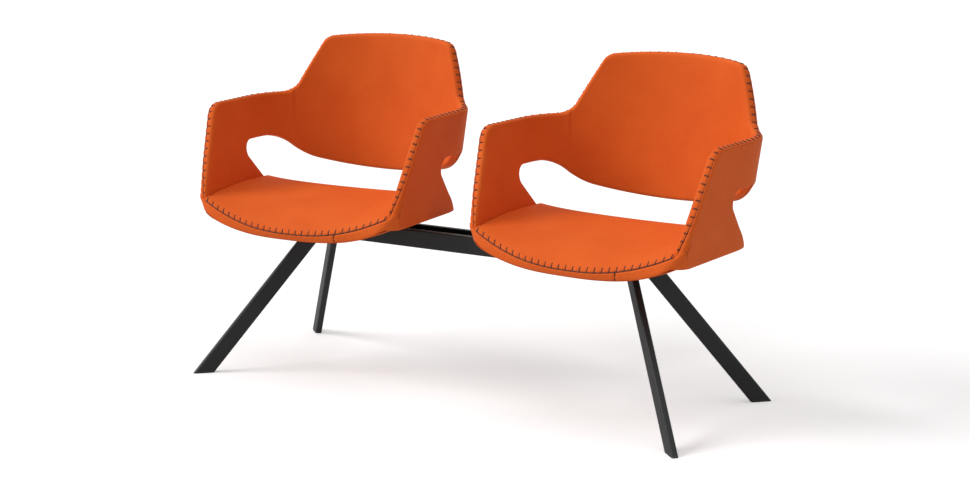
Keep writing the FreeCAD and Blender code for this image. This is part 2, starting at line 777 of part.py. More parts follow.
def make_spacer(x):
    """Solid steel bar that carries the plate across the beam."""
    bar = Part.makeBox(SPACER_WIDTH, SPACER_LENGTH, SPACER_HEIGHT,
                       Vector(x - SPACER_WIDTH / 2, -SPACER_LENGTH / 2, BEAM_TOP_LEVEL))
    upright = [edge for edge in bar.Edges if abs(edge.tangentAt(edge.FirstParameter).z) > 0.9]
    bar = bar.makeFillet(SPACER_WIDTH / 6, upright)
    places = [(x, -BEAM_BOLT_HALF_SPACING), (x, BEAM_BOLT_HALF_SPACING)]
    return bar.cut(vertical_pins(places, BEAM_BOLT_SHANK, BEAM_TOP_LEVEL - 1,
                                 BEAM_TOP_LEVEL + SPACER_HEIGHT + 1))


def seam_stitches(rungs):
    """Blanket stitches across the rim, evenly spaced from the back's centre to each arm."""
    stitches = []
    middle = len(rungs) // 2
    for half in (rungs[middle::-1], rungs[middle:]):
        walked, due = 0.0, STITCH_PITCH / 2
        for first, second in zip(half, half[1:]):
            here = first.at(first.length, SEAM_DEPTH)
            after = second.at(second.length, SEAM_DEPTH)
            span = (after - here).Length
            while due <= walked + span and here.z > SEAM_SIDE_LEVEL:
                share = (due - walked) / span
                ends = []
                for t in (SEAM_DEPTH, SEAM_DEPTH - STITCH_LENGTH):
                    a = first.at(first.length + STITCH_THREAD / 2, t)
                    b = second.at(second.length + STITCH_THREAD / 2, t)
                    ends.append(a + (b - a) * share)
                stitches.append(thread(ends[0], ends[1]))
                due += STITCH_PITCH
            walked += span
    return stitches


def front_stitches():
    """Blanket stitches up from the seam at the seat's front, mirrored about its middle."""
    stitches = []
    step = STITCH_PITCH / seat_half_width()
    count = int((1.0 - step / 2) / step)
    for index in range(count):
        for side in (-1, 1):
            u = side * (index + 0.5) * step
            place = seat_place(u)
            foot = place(seat_seam_y(u) - STITCH_THREAD, seat_seam_z(u))
            tip_y = seat_seam_y(u) + LIP_RADIUS * 0.7 - STITCH_THREAD
            tip = place(tip_y, seat_seam_z(u) + LIP_RADIUS + 1.0)
            stitches.append(thread(foot, tip))
    return stitches


def thread(start, end):
    axis = end - start
    return Part.makeCylinder(STITCH_THREAD / 2, axis.Length, start, axis)


def make_stitching(rungs):
    return Part.makeCompound(seam_stitches(rungs) + front_stitches())


def beam_half_length():
    return SEAT_PITCH / 2 - BEAM_END_INSET


def beam_outline(inset):
    """Corner points (y, z) of the channel's outer skin, moved inwards by inset."""
    half = BEAM_DEPTH / 2 - inset
    low = BEAM_TOP_LEVEL - BEAM_HEIGHT + inset
    high = BEAM_TOP_LEVEL - inset
    return half, low, high


def make_beam():
    """Cold formed lipped channel with its slot upwards."""
    half, low, high = beam_outline(0.0)
    corner = Vector(-beam_half_length(), -half, low)
    box = Part.makeBox(2 * beam_half_length(), 2 * half, high - low, corner)
    box = box.makeFillet(BEAM_BEND_RADIUS, [edge for edge in box.Edges if edge.Length > beam_half_length()])
    half, low, high = beam_outline(BEAM_WALL)
    hollow = Part.makeBox(2 * beam_half_length() + 2, 2 * half, high - low,
                          Vector(-beam_half_length() - 1, -half, low))
    slot_half = BEAM_DEPTH / 2 - BEAM_LIP
    slot = Part.makeBox(2 * beam_half_length() + 2, 2 * slot_half, BEAM_HEIGHT,
                        Vector(-beam_half_length() - 1, -slot_half, low))
    beam = box.cut(hollow).cut(slot)
    bore = BEAM_BOLT_SHANK + HOLE_CLEARANCE
    bolts = vertical_pins(beam_bolt_places(), bore, high - 1, BEAM_TOP_LEVEL + 1)
    return beam.cut(bolts).cut(cross_pins(head_bolt_xs(), HEAD_BOLT_SHANK + HOLE_CLEARANCE))


def beam_bolt_places():
    """Bolts through the beam's lips into the spacers nearest the middle."""
    places = []
    for _, side in SIDES:
        x = side * (SEAT_PITCH / 2 + SPACER_INNER_OFFSET)
        for sign in (-1, 1):
            places.append((x, sign * BEAM_BOLT_HALF_SPACING))
    return places


def head_bolt_xs():
    inner = beam_half_length() - HEAD_BOLT_FIRST
    return [side * x for side in (-1, 1) for x in (inner, inner - HEAD_BOLT_SPACING)]


def cross_pins(xs, diameter):
    """Cylinders across the beam at half its height."""
    level = BEAM_TOP_LEVEL - BEAM_HEIGHT / 2
    reach = BEAM_DEPTH + 2
    across = Vector(0, 1, 0)
    pins = [Part.makeCylinder(diameter / 2, reach, Vector(x, -reach / 2, level), across) for x in xs]
    return Part.makeCompound(pins)


def head_bolt_length():
    """Bolts reach from the beam's side into the head's tongue."""
    return BEAM_WALL + 14.0


def make_head_bolts():
    bolts = []
    level = BEAM_TOP_LEVEL - BEAM_HEIGHT / 2
    for x in head_bolt_xs():
        for sign in (-1, 1):
            base = Vector(x, sign * BEAM_DEPTH / 2, level)
            bolts.append(hex_bolt(HEAD_BOLT_SHANK, head_bolt_length(), base, (0, -sign, 0)))
    return Part.makeCompound(bolts)


def make_beam_bolts():
    """Bolts from inside the channel up through the lips into the inner spacers."""
    base_level = BEAM_TOP_LEVEL - BEAM_WALL
    length = BEAM_WALL + SPACER_HEIGHT
    bolts = [hex_bolt(BEAM_BOLT_SHANK, length, Vector(x, y, base_level), (0, 0, 1))
             for x, y in beam_bolt_places()]
    return Part.makeCompound(bolts)


def leg_apex_x():
    return SEAT_PITCH / 2 + LEG_APEX_OUTSET


def leg_axis(side, end):
    """Foot point, unit direction up the leg and level direction across it."""
    foot = Vector(side * (leg_apex_x() + LEG_SPREAD_X), end * LEG_FOOT_Y, 0)
    apex = Vector(side * leg_apex_x(), 0, LEG_APEX_LEVEL)
    up = apex - foot
    up.normalize()
    across = up.cross(Vector(0, 0, 1))
    across.normalize()
    return foot, up, across


def leg_bar(side, end, inset):
    """Long bar of the leg's rounded section, thinner by inset all round."""
    foot, up, across = leg_axis(side, end)
    wide = across.cross(up)
    start = foot - up * 80

    def place(s, t):
        return start + wide * s + across * t

    half_w = LEG_TUBE_WIDTH / 2 - inset
    half_t = LEG_TUBE_THICKNESS / 2 - inset
    r = LEG_TUBE_RADIUS - inset
    section = closed_wire([
        quarter(place, half_w - r, half_t - r, r, 0, 90),
        quarter(place, r - half_w, half_t - r, r, 90, 180),
        quarter(place, r - half_w, r - half_t, r, 180, 270),
        quarter(place, half_w - r, r - half_t, r, 270, 360),
    ])
    return Part.Face(section).extrude(up * (LEG_APEX_LEVEL * 2))


def level_slab(low, high):
    """Wide block between two heights, used to cut sloping pieces level."""
    reach = 2 * (leg_apex_x() + LEG_SPREAD_X)
    return Part.makeBox(2 * reach, 2 * reach, high - low, Vector(-reach, -reach, low))


def make_leg(side, end):
    tube = leg_bar(side, end, 0.0).cut(leg_bar(side, end, LEG_TUBE_WALL))
    return tube.common(level_slab(GLIDE_SOLE, LEG_TOP_LEVEL))


def make_glide(side, end):
    """Plastic foot: a sole of the tube's outline and a plug inside the tube."""
    sole = leg_bar(side, end, 0.0).common(level_slab(0, GLIDE_SOLE))
    plug = leg_bar(side, end, LEG_TUBE_WALL).common(level_slab(GLIDE_SOLE / 2, GLIDE_SOLE + GLIDE_PLUG))
    return sole.fuse(plug).removeSplitter()


def make_leg_head(side):
    """Cast block with a tongue in the beam's end and a slanted socket for each leg."""
    start = beam_half_length() + FIT_GAP
    low = BEAM_TOP_LEVEL - HEAD_HEIGHT
    block = Part.makeBox(HEAD_LENGTH, HEAD_WIDTH, HEAD_HEIGHT, Vector(start, -HEAD_WIDTH / 2, low))
    upright = [edge for edge in block.Edges if abs(edge.tangentAt(edge.FirstParameter).z) > 0.9]
    block = block.makeFillet(HEAD_CORNER_RADIUS, upright)
    half, inner_low, inner_high = beam_outline(BEAM_WALL + HEAD_TONGUE_GAP)
    tongue_start = start - HEAD_TONGUE
    tongue = Part.makeBox(HEAD_TONGUE + HEAD_CORNER_RADIUS, 2 * half, inner_high - inner_low,
                          Vector(tongue_start, -half, inner_low))
    block = block.fuse(tongue).removeSplitter()
    block = block if side > 0 else block.mirror(Vector(0, 0, 0), Vector(1, 0, 0))
    for end in (-1, 1):
        block = block.cut(leg_bar(side, end, 0.0).common(level_slab(0, LEG_TOP_LEVEL)))
    block = block.cut(make_head_bolts())
    x = side * (SEAT_PITCH / 2 + SPACER_OUTER_OFFSET)
    places = [(x, -BEAM_BOLT_HALF_SPACING), (x, BEAM_BOLT_HALF_SPACING)]
    depth = SPACER_HEIGHT + BEAM_BOLT_SHANK
    return block.cut(vertical_pins(places, BEAM_BOLT_SHANK, BEAM_TOP_LEVEL - depth, BEAM_TOP_LEVEL + 1))


def make_head_studs():
    """Studs that fix the outer spacers to the leg heads."""
    places = []
    for _, side in SIDES:
        x = side * (SEAT_PITCH / 2 + SPACER_OUTER_OFFSET)
        places += [(x, -BEAM_BOLT_HALF_SPACING), (x, BEAM_BOLT_HALF_SPACING)]
    depth = SPACER_HEIGHT + BEAM_BOLT_SHANK
    return vertical_pins(places, BEAM_BOLT_SHANK, BEAM_TOP_LEVEL - depth, BEAM_TOP_LEVEL + SPACER_HEIGHT)


def seat_nodes():
    """Pieces of one seat round its own centre line."""
    rungs = shell_rungs()
    return {
        "seat_cushion": make_cushion(),
        "front_facing": make_facing(),
        "underside_cover": make_underside_cover(),
        "seat_board": make_board(),
        "inner_pad": make_inner_pad(rungs),
        "shell_core": notch_corners(strip(core_section, rungs)),
        "outer_pad": notch_corners(strip(outer_pad_section, rungs)),
        "edge_stitching": make_stitching(rungs),
        "tee_nuts": make_tee_nuts(),
        "seat_bolts": make_seat_bolts(),
        "core_screws": make_core_screws(),
        "mount_plate": make_mount_plate(),
    }


def frame_nodes():
    nodes = {
        "beam": make_beam(),
        "head_bolts": make_head_bolts(),
        "beam_bolts": make_beam_bolts(),
        "head_studs": make_head_studs(),
    }
    for name, side in SIDES:
        nodes["leg_head_" + name] = make_leg_head(side)
        for word, offset in zip(("inner", "outer"), spacer_offsets(side)):
            nodes["spacer_%s_%s" % (word, name)] = make_spacer(side * SEAT_PITCH / 2 + offset)
        for word, end in (("front", -1), ("rear", 1)):
            nodes["leg_%s_%s" % (word, name)] = make_leg(side, end)
            nodes["glide_%s_%s" % (word, name)] = make_glide(side, end)
    return nodes


def box_middle_y(shapes):
    """Middle of the bench between its foremost and rearmost points."""
    boxes = [shape.optimalBoundingBox(False, False) for shape in shapes]
    return (min(box.YMin for box in boxes) + max(box.YMax for box in boxes)) / 2


def main():
    os.makedirs("parts", exist_ok=True)
    nodes = frame_nodes()
    for kind, shape in seat_nodes().items():
        for name, side in SIDES:
            copy = shape.copy()
            copy.rotate(Vector(0, 0, 0), Vector(0, 0, 1), -side * SEAT_TURN)
            copy.translate(Vector(side * SEAT_PITCH / 2, 0, 0))
            nodes[kind + "_" + name] = copy
    middle = box_middle_y([nodes["glide_front_right"], nodes["outer_pad_right"]])
    for name, shape in nodes.items():
        shape.translate(Vector(0, -middle, 0))
        shape.exportStep("parts/%s.step" % name)
        print(name, len(shape.Solids), "solids", "valid" if shape.isValid() else "NOT VALID",
              round(shape.Volume / 1000, 1), "cm3")


main()
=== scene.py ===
import json
import math

import bpy
import numpy as np
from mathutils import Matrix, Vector


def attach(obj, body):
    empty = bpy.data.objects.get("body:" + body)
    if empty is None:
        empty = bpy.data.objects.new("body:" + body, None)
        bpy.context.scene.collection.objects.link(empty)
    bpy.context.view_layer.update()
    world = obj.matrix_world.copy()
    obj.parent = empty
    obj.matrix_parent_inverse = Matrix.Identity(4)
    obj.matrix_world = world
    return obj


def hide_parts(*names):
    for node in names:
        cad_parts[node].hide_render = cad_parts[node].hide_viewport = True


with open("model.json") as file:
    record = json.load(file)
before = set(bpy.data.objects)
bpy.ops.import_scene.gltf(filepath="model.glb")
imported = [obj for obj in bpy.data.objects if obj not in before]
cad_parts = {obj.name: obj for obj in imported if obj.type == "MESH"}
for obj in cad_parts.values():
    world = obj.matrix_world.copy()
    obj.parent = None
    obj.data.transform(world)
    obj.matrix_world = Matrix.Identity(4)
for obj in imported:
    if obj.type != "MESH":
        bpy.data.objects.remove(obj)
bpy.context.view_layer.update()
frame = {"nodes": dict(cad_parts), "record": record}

MM = 0.001

# Sizes of the seat in millimetres
SEAT_PITCH, SEAT_TURN, ROW_SHIFT = 795.0, 3.25, 18.22
SEAT_LEVEL, FIT_GAP = 445.0, 0.4
SHELL_HALF_WIDTH, SHELL_BACK_Y = 261.5, 230.0
BACK_PLAN_RADIUS, CORNER_PLAN_RADIUS, WALL_LEAN = 327.0, 140.0, 0.134
SHELL_BOTTOM_LEVEL, SHELL_THICKNESS = 417.0, 24.0
SEAM_DEPTH, INNER_RIM_RADIUS, OUTER_RIM_RADIUS = 18.5, 8.0, 5.5
SEAT_REAR_Y, SEAT_KNEE_Y, SEAT_REAR_RADIUS = 66.0, -125.0, 11.0
SEAT_TOP_SIDE_LEVEL, SEAT_TOP_DISH, SEAT_KNEE_DROP = 459.0, 6.0, 6.0
SEAM_SIDE_LEVEL, SEAM_MIDDLE_DROP, SEAM_DROP_POWER = 443.0, 56.0, 2.4
PAN_FLAT_HALF_WIDTH, PAN_FLAT_LEVEL, PAN_SIDE_RISE = 150.0, 405.0, 10.7
PAN_FRONT_DROP, PAN_DROP_POWER, PAN_FRONT_RISE_Y = 35.0, 2.9, -190.0
BAND_THICKNESS, LINING_THICKNESS = 7.0, 3.4

# Rim of the shell on the unrolled wall, from the back's top to the arm's front; turns in degrees
BACK_TOP_LEVEL, TOP_RADIUS, TOP_TURN = 824.0, 1350.0, 6.2
SHOULDER_RADIUS, SHOULDER_SLOPE = 35.0, 61.0
ARM_LEVEL, ARM_ROOT_RADIUS, ARM_LENGTH = 673.0, 43.0, 221.0
ARM_FRONT_RADIUS, ARM_FRONT_LEAN = 45.0, 23.3

# Opening below the back and the arm, from the middle of the back to the arm's bottom
OPENING_EDGE_LEVEL, OPENING_BACK_RADIUS, OPENING_BACK_SLOPE = 564.5, 733.0, 14.9
OPENING_RISE_RADIUS, OPENING_RISE_SLOPE = 136.0, 45.8
OPENING_ARM_RADIUS, OPENING_ARM_LENGTH = 97.5, 59.0
OPENING_FRONT_RADIUS, OPENING_FRONT_LEAN = 26.5, 46.7

# Stations on the rim and on the opening that one rung joins
RUNG_KEYS = ((0, 0), (1, .72), (2, .87), (3, 1.6), (4, 2.45), (4.5, 3), (5, 4.1), (6, 4.6), (7, 6))

# Soft forms of the upholstery
PUCKER_HEIGHT, PUCKER_DRAW, PUCKER_WIDTH, PUCKER_REACH = 2.1, 1.3, 4.5, 11.0
RIM_CROWN = 1.6
TAPER_TOP, TAPER_LOW, TAPER_LEFT = 540.0, 447.0, .26
COVER_SEAM_W, COVER_SEAM_LEVEL, COVER_SEAM_FADE = 242.0, 585.0, 45.0
COVER_SEAM_GROOVE, COVER_SEAM_SWELL = 2.2, .9
SEAT_SIDE_LIFT, SEAT_CROWN, SEAT_EDGE_RADIUS = 7.0, 3.2, 9.0
BAND_BULGE, BAND_ROLL, BAND_PUCKER, BAND_JOINT_GROOVE = 2.4, 2.2, 1.3, 2.2
BAND_DIP, BAND_DIP_X, BAND_DIP_WIDTH = 3.2, 212.0, 50.0
BAND_JOINT_X = 130.0
LINING_ROLL, LINING_THINNING = 16.0, 2.6

# Thread
STITCH_PITCH, STITCH_LENGTH, THREAD_RADIUS = 19.0, 11.5, 1.25
STITCH_DRIFT, STITCH_LENGTH_SPREAD = 1.2, 1.6

# Spacing and number of the mesh's points
RUNG_SPACING, FRONT_STEP = 2.4, 3.0
FACE_COLUMNS, CORNER_ROWS, BAND_COLUMNS = 64, 26, 14
REAR_POINTS, TOP_POINTS, FRONT_POINTS = 7, 50, 45

random = np.random.default_rng(7)


# Shell surface

def corner_turn():
    """Turn in plan at which the back's arc meets the corner's arc."""
    spread = BACK_PLAN_RADIUS - CORNER_PLAN_RADIUS
    return math.asin((SHELL_HALF_WIDTH - CORNER_PLAN_RADIUS) / spread)


def side_start():
    """Unrolled distance and place along Y at which the straight side begins."""
    turn = corner_turn()
    unrolled = BACK_PLAN_RADIUS * turn + CORNER_PLAN_RADIUS * (math.pi / 2 - turn)
    spread = BACK_PLAN_RADIUS - CORNER_PLAN_RADIUS
    return unrolled, SHELL_BACK_Y - BACK_PLAN_RADIUS + spread * math.cos(turn)


def wall(w, z, out=0.0):
    """Points of the leaning wall at unrolled distance w and height z, moved outwards."""
    w, z = np.broadcast_arrays(np.asarray(w, float), np.asarray(z, float))
    turn = corner_turn()
    wide_end = BACK_PLAN_RADIUS * turn
    side_w, side_y = side_start()
    on_back = w <= wide_end
    a = np.where(on_back, w / BACK_PLAN_RADIUS, turn + (w - wide_end) / CORNER_PLAN_RADIUS)
    a = np.minimum(a, math.pi / 2)
    radius = np.where(on_back, BACK_PLAN_RADIUS, CORNER_PLAN_RADIUS)
    cx = np.where(on_back, 0.0, SHELL_HALF_WIDTH - CORNER_PLAN_RADIUS)
    cy = np.where(on_back, SHELL_BACK_Y - BACK_PLAN_RADIUS, side_y)
    x = cx + radius * np.sin(a)
    y = cy + radius * np.cos(a)
    straight = w > side_w
    x = np.where(straight, SHELL_HALF_WIDTH, x)
    y = np.where(straight, side_y - (w - side_w), y)
    nx, ny = np.sin(a), np.cos(a)
    lean = WALL_LEAN * (z - SEAT_LEVEL)
    size = math.hypot(1.0, WALL_LEAN)
    out = np.asarray(out, float)
    return np.stack([x + nx * (lean + out / size), y + ny * (lean + out / size),
                     z - WALL_LEAN * out / size], -1)


def side_x(z):
    return SHELL_HALF_WIDTH + WALL_LEAN * (z - SEAT_LEVEL)


def outer_side_x(z):
    return side_x(z) + SHELL_THICKNESS * math.hypot(1.0, WALL_LEAN)


class Outline:
    """Tangent lines and arcs on the unrolled wall, drawn from the centre outwards."""

    def __init__(self, z):
        self.w, self.z, self.heading = 0.0, z, 0.0
        self.pieces = []

    def add(self, length, turn=0.0):
        self.pieces.append((self.w, self.z, self.heading, length, turn))
        self.w, self.z, self.heading = self.along(len(self.pieces) - 1, 1.0)

    def arc(self, radius, turn):
        self.add(radius * abs(math.radians(turn)), math.radians(turn))

    def line_to_level(self, z):
        self.add((z - self.z) / math.sin(self.heading))

    def along(self, index, share):
        w, z, heading, length, turn = self.pieces[index]
        if turn == 0.0:
            reach = length * share
            return w + reach * math.cos(heading), z + reach * math.sin(heading), heading
        radius, end = length / turn, heading + turn * share
        return (w + radius * (math.sin(end) - math.sin(heading)),
                z - radius * (math.cos(end) - math.cos(heading)), end)

    def point(self, station):
        index = min(int(station), len(self.pieces) - 1)
        return self.along(index, station - index)[:2]


def outer_outline():
    path = Outline(BACK_TOP_LEVEL)
    path.arc(TOP_RADIUS, -TOP_TURN)
    path.arc(SHOULDER_RADIUS, TOP_TURN - SHOULDER_SLOPE)
    path.line_to_level(ARM_LEVEL + ARM_ROOT_RADIUS * (1 - math.cos(math.radians(SHOULDER_SLOPE))))
    path.arc(ARM_ROOT_RADIUS, SHOULDER_SLOPE)
    path.add(ARM_LENGTH)
    path.arc(ARM_FRONT_RADIUS, ARM_FRONT_LEAN - 90.0)
    path.line_to_level(SHELL_BOTTOM_LEVEL)
    return path


def inner_outline():
    low = math.cos(math.radians(OPENING_BACK_SLOPE))
    high = math.cos(math.radians(OPENING_RISE_SLOPE))
    rise = (OPENING_BACK_RADIUS * (1 - low) + OPENING_RISE_RADIUS * (low - high)
            + OPENING_ARM_RADIUS * (1 - high))
    path = Outline(OPENING_EDGE_LEVEL - rise)
    path.arc(OPENING_BACK_RADIUS, OPENING_BACK_SLOPE)
    path.arc(OPENING_RISE_RADIUS, OPENING_RISE_SLOPE - OPENING_BACK_SLOPE)
    path.arc(OPENING_ARM_RADIUS, -OPENING_RISE_SLOPE)
    path.add(OPENING_ARM_LENGTH)
    path.arc(OPENING_FRONT_RADIUS, OPENING_FRONT_LEAN - 180.0)
    path.line_to_level(SHELL_BOTTOM_LEVEL)
    return path


def rungs():
    """Outer and inner (w, z) pairs and the rim's running length, centre to arm bottom."""
    outer_path, inner_path = outer_outline(), inner_outline()
    fine_o, fine_i = [], []
    for (oa, ia), (ob, ib) in zip(RUNG_KEYS, RUNG_KEYS[1:]):
        for share in np.linspace(0, 1, 60, endpoint=False):
            fine_o.append(outer_path.point(oa + (ob - oa) * share))
            fine_i.append(inner_path.point(ia + (ib - ia) * share))
    fine_o.append(outer_path.point(RUNG_KEYS[-1][0]))
    fine_i.append(inner_path.point(RUNG_KEYS[-1][1]))
    fine_o, fine_i = np.array(fine_o), np.array(fine_i)
    step = np.hypot(*np.diff(fine_o, axis=0).T)
    step = np.maximum(step, 0.35 * np.hypot(*np.diff(fine_i, axis=0).T))
    run = np.concatenate([[0], np.cumsum(step)])
    even = np.linspace(0, run[-1], int(run[-1] / RUNG_SPACING) + 1)
    outer = np.stack([np.interp(even, run, fine_o[:, k]) for k in (0, 1)], -1)
    inner = np.stack([np.interp(even, run, fine_i[:, k]) for k in (0, 1)], -1)
    rim = np.concatenate([[0], np.cumsum(np.hypot(*np.diff(outer, axis=0).T))])
    return outer, inner, rim


OUTER, INNER, RIM = rungs()
SPAN = np.hypot(*(OUTER - INNER).T)


def unrolled(s):
    """Unrolled distance and height at the distances s from the opening, by rung and place."""
    share = s / SPAN[:, None]
    w = INNER[:, None, 0] + (OUTER[:, None, 0] - INNER[:, None, 0]) * share
    z = INNER[:, None, 1] + (OUTER[:, None, 1] - INNER[:, None, 1]) * share
    return w, z


def shell_points(side, s, t):
    """Points of one half of the shell; s and t are arrays over (rung, place)."""
    w, z = unrolled(s)
    points = wall(np.abs(w), z, t)
    points[..., 0] *= side * np.where(w < 0, -1, 1)
    return points


def bend(start, end, corner, count=6):
    """Quarter turn from start to end round the corner point, as (s, t) pairs."""
    start, end, corner = (np.array(p, float) for p in (start, end, corner))
    turn = np.linspace(0, math.pi / 2, count)
    centre = start + end - corner
    return [tuple(centre + (start - centre) * math.cos(a) + (end - centre) * math.sin(a))
            for a in turn]


def profile_arrays(places):
    """Places (distance, share of the span, depth) as arrays s and t over the rungs."""
    s = np.stack([p[0] + p[1] * SPAN for p in places], -1)
    t = np.stack([np.full(len(SPAN), p[2]) for p in places], -1)
    return s, t


def stitch_wave(run):
    """0 at each stitch and 1 halfway between two."""
    return np.abs(np.sin(math.pi * run / STITCH_PITCH)) ** .7


def band_share():
    """Share of the rim band's width by rung: it narrows to the lower front corner."""
    low = np.clip((TAPER_TOP - OUTER[:, 1]) / (TAPER_TOP - TAPER_LOW), 0, 1)
    at_arm_front = OUTER[:, 0] > 500
    return 1 - (1 - TAPER_LEFT) * (low * at_arm_front) ** 1.3


def inner_cover_profile():
    """From the seam in the opening over the face to the rim's seam, and back inside."""
    r = INNER_RIM_RADIUS
    turn = bend((0, r), (r, 0), (0, 0), 7)
    places = [(1.6, 0, SEAM_DEPTH - .2), (.5, 0, SEAM_DEPTH - 1.2)]
    places += [(0, 0, t) for t in (15.5, 12.5, 10.0)]
    places += [(p[0], 0, p[1]) for p in turn]
    places += [(r * (1 - 2 * k), k, 0) for k in np.linspace(0, 1, FACE_COLUMNS)[1:-1]]
    places += [(-p[0], 1, p[1]) for p in turn[::-1]]
    places += [(0, 1, t) for t in (9.2, 10.6, 12.0, 13.4, 14.8, 16.0, 17.0)]
    places += [(-.6, 1, SEAM_DEPTH - .7), (-1.8, 1, SEAM_DEPTH - .1)]
    places += [(-9.0, 1, SEAM_DEPTH - .1), (-9.0, 1, 7.5)]
    places += [(9.0, 0, 7.5), (9.0, 0, SEAM_DEPTH - .2)]
    return places


def outer_cover_profile():
    """From inside over the rim's seam and the outer face to the seam in the opening."""
    r, thick = OUTER_RIM_RADIUS, SHELL_THICKNESS
    wide = r + 3
    places = [(-9.0, 1, 16.5), (-9.0, 1, SEAM_DEPTH + .1)]
    places += [(-1.8, 1, SEAM_DEPTH + .1), (-.6, 1, SEAM_DEPTH + .7)]
    places += [(-p[0], 1, thick - p[1]) for p in bend((0, r - .8), (wide, 0), (0, 0), 8)]
    places += [(wide * (1 - 2 * k), k, thick) for k in np.linspace(1, 0, FACE_COLUMNS)[1:-1]]
    places += [(p[0], 0, thick - p[1]) for p in bend((wide, 0), (0, r - .8), (0, 0), 8)]
    places += [(.5, 0, SEAM_DEPTH + 1.0), (1.6, 0, SEAM_DEPTH + .1)]
    places += [(9.0, 0, SEAM_DEPTH + .1), (9.0, 0, 16.5)]
    return places


# Seat front

class FrontEdge:
    """Bowed front edge in plan, rounded into the outer faces of the arms."""

    def __init__(self, corner_y, bulge, radius, level):
        self.corner_y, self.bulge, self.radius = corner_y, bulge, radius
        self.half = SHELL_HALF_WIDTH - FIT_GAP
        self.turn0 = math.atan(2 * bulge / self.half)
        self.centre_x = outer_side_x(level) - radius
        self.centre_y = (corner_y + math.tan(self.turn0) * (self.centre_x - self.half)
                         + radius / math.cos(self.turn0))

    def at(self, x):
        """Place along Y and turn at the distances x from the middle."""
        x = np.asarray(x, float)
        reach = np.clip((np.abs(x) - self.centre_x) / self.radius, -1, 1)
        turn = np.arcsin(reach)
        on_bow = np.abs(x) - self.centre_x <= self.radius * math.sin(self.turn0)
        bow = self.corner_y - self.bulge * (1 - (x / self.half) ** 2)
        y = np.where(on_bow, bow, self.centre_y - self.radius * np.cos(turn))
        bow_turn = np.arctan(2 * self.bulge * x / self.half ** 2)
        return y, np.where(on_bow, bow_turn, np.copysign(turn, x))


SEAM_EDGE = FrontEdge(-219.0, 26.0, 16.0, SEAM_SIDE_LEVEL)
BOTTOM_EDGE = FrontEdge(-229.0, 8.0, 50.0, SHELL_BOTTOM_LEVEL)
SEAT_HALF = SHELL_HALF_WIDTH - FIT_GAP


def seam_z(x):
    share = np.abs(np.asarray(x) / SEAT_HALF)
    return SEAM_SIDE_LEVEL - SEAM_MIDDLE_DROP * (1 - share ** SEAM_DROP_POWER)


def pan_front_z(x):
    """Level of the pan's front edge, lowest in the middle."""
    side = PAN_FLAT_LEVEL + PAN_SIDE_RISE
    share = np.minimum(1.0, np.abs(np.asarray(x) / SEAT_HALF))
    return side - (PAN_FRONT_DROP + PAN_SIDE_RISE) * (1 - share ** PAN_DROP_POWER)


def pan_z(x):
    """Level of the pan behind its front edge, flat in the middle and rising to the sides."""
    reach = side_x(PAN_FLAT_LEVEL) + SHELL_THICKNESS - PAN_FLAT_HALF_WIDTH
    past = np.maximum(0, np.abs(x) - PAN_FLAT_HALF_WIDTH)
    return PAN_FLAT_LEVEL + PAN_SIDE_RISE * (past / reach) ** 2


def facing_y(x, z):
    """Place along Y of the front band's outer surface below its seam."""
    offset = outer_side_x(z)
    top_x = np.abs(x) - (offset - outer_side_x(SEAM_SIDE_LEVEL))
    low_x = np.abs(x) - (offset - outer_side_x(SHELL_BOTTOM_LEVEL))
    share = (z - SHELL_BOTTOM_LEVEL) / (SEAM_SIDE_LEVEL - SHELL_BOTTOM_LEVEL)
    share = np.clip(share, -.3, 2.6)
    top, low = SEAM_EDGE.at(top_x)[0], BOTTOM_EDGE.at(low_x)[0]
    return low + (top - low) * share


def tuck_behind_facing(points, depth):
    """The arm's lower front corner drawn back behind the front band."""
    x, y, z = points[..., 0], points[..., 1], points[..., 2]
    limit = facing_y(x, z) + depth
    below = np.clip((SEAM_SIDE_LEVEL + 60.0 - z) / 30.0, 0, 1)
    below = below ** 2 * (3 - 2 * below)
    points[..., 1] = np.where(np.abs(x) > 200, np.maximum(y, y + (limit - y) * below), y)
    return points


# Meshes

def seat_matrix(side):
    """Turn and shift from one seat's own frame to the row frame, in millimetres."""
    a = -side * math.radians(SEAT_TURN)
    c, s = math.cos(a), math.sin(a)
    shift = np.array([side * SEAT_PITCH / 2, -ROW_SHIFT, 0])
    return np.array([[c, -s, 0], [s, c, 0], [0, 0, 1]]), shift


def new_piece(name, vertices, faces):
    """Smooth shaded object from vertices in millimetres."""
    mesh = bpy.data.meshes.new(name)
    mesh.from_pydata([tuple(v) for v in np.asarray(vertices) * MM], [], faces)
    mesh.validate()
    mesh.polygons.foreach_set("use_smooth", [True] * len(mesh.polygons))
    piece = bpy.data.objects.new(name, mesh)
    bpy.context.scene.collection.objects.link(piece)
    return piece


def tube_faces(rows, columns):
    """Quads of a grid whose columns run round a closed profile, with a cap at each end."""
    faces = []
    for i in range(rows - 1):
        a, b = i * columns, (i + 1) * columns
        for j in range(columns):
            k = (j + 1) % columns
            faces.append((a + j, a + k, b + k, b + j))
    faces.append(tuple(range(columns))[::-1])
    faces.append(tuple(range((rows - 1) * columns, rows * columns)))
    return faces


def both_halves(build):
    """Rungs of the left half, reversed, and then those of the right half."""
    left, right = build(-1), build(1)
    return np.concatenate([left[::-1][:-1], right])


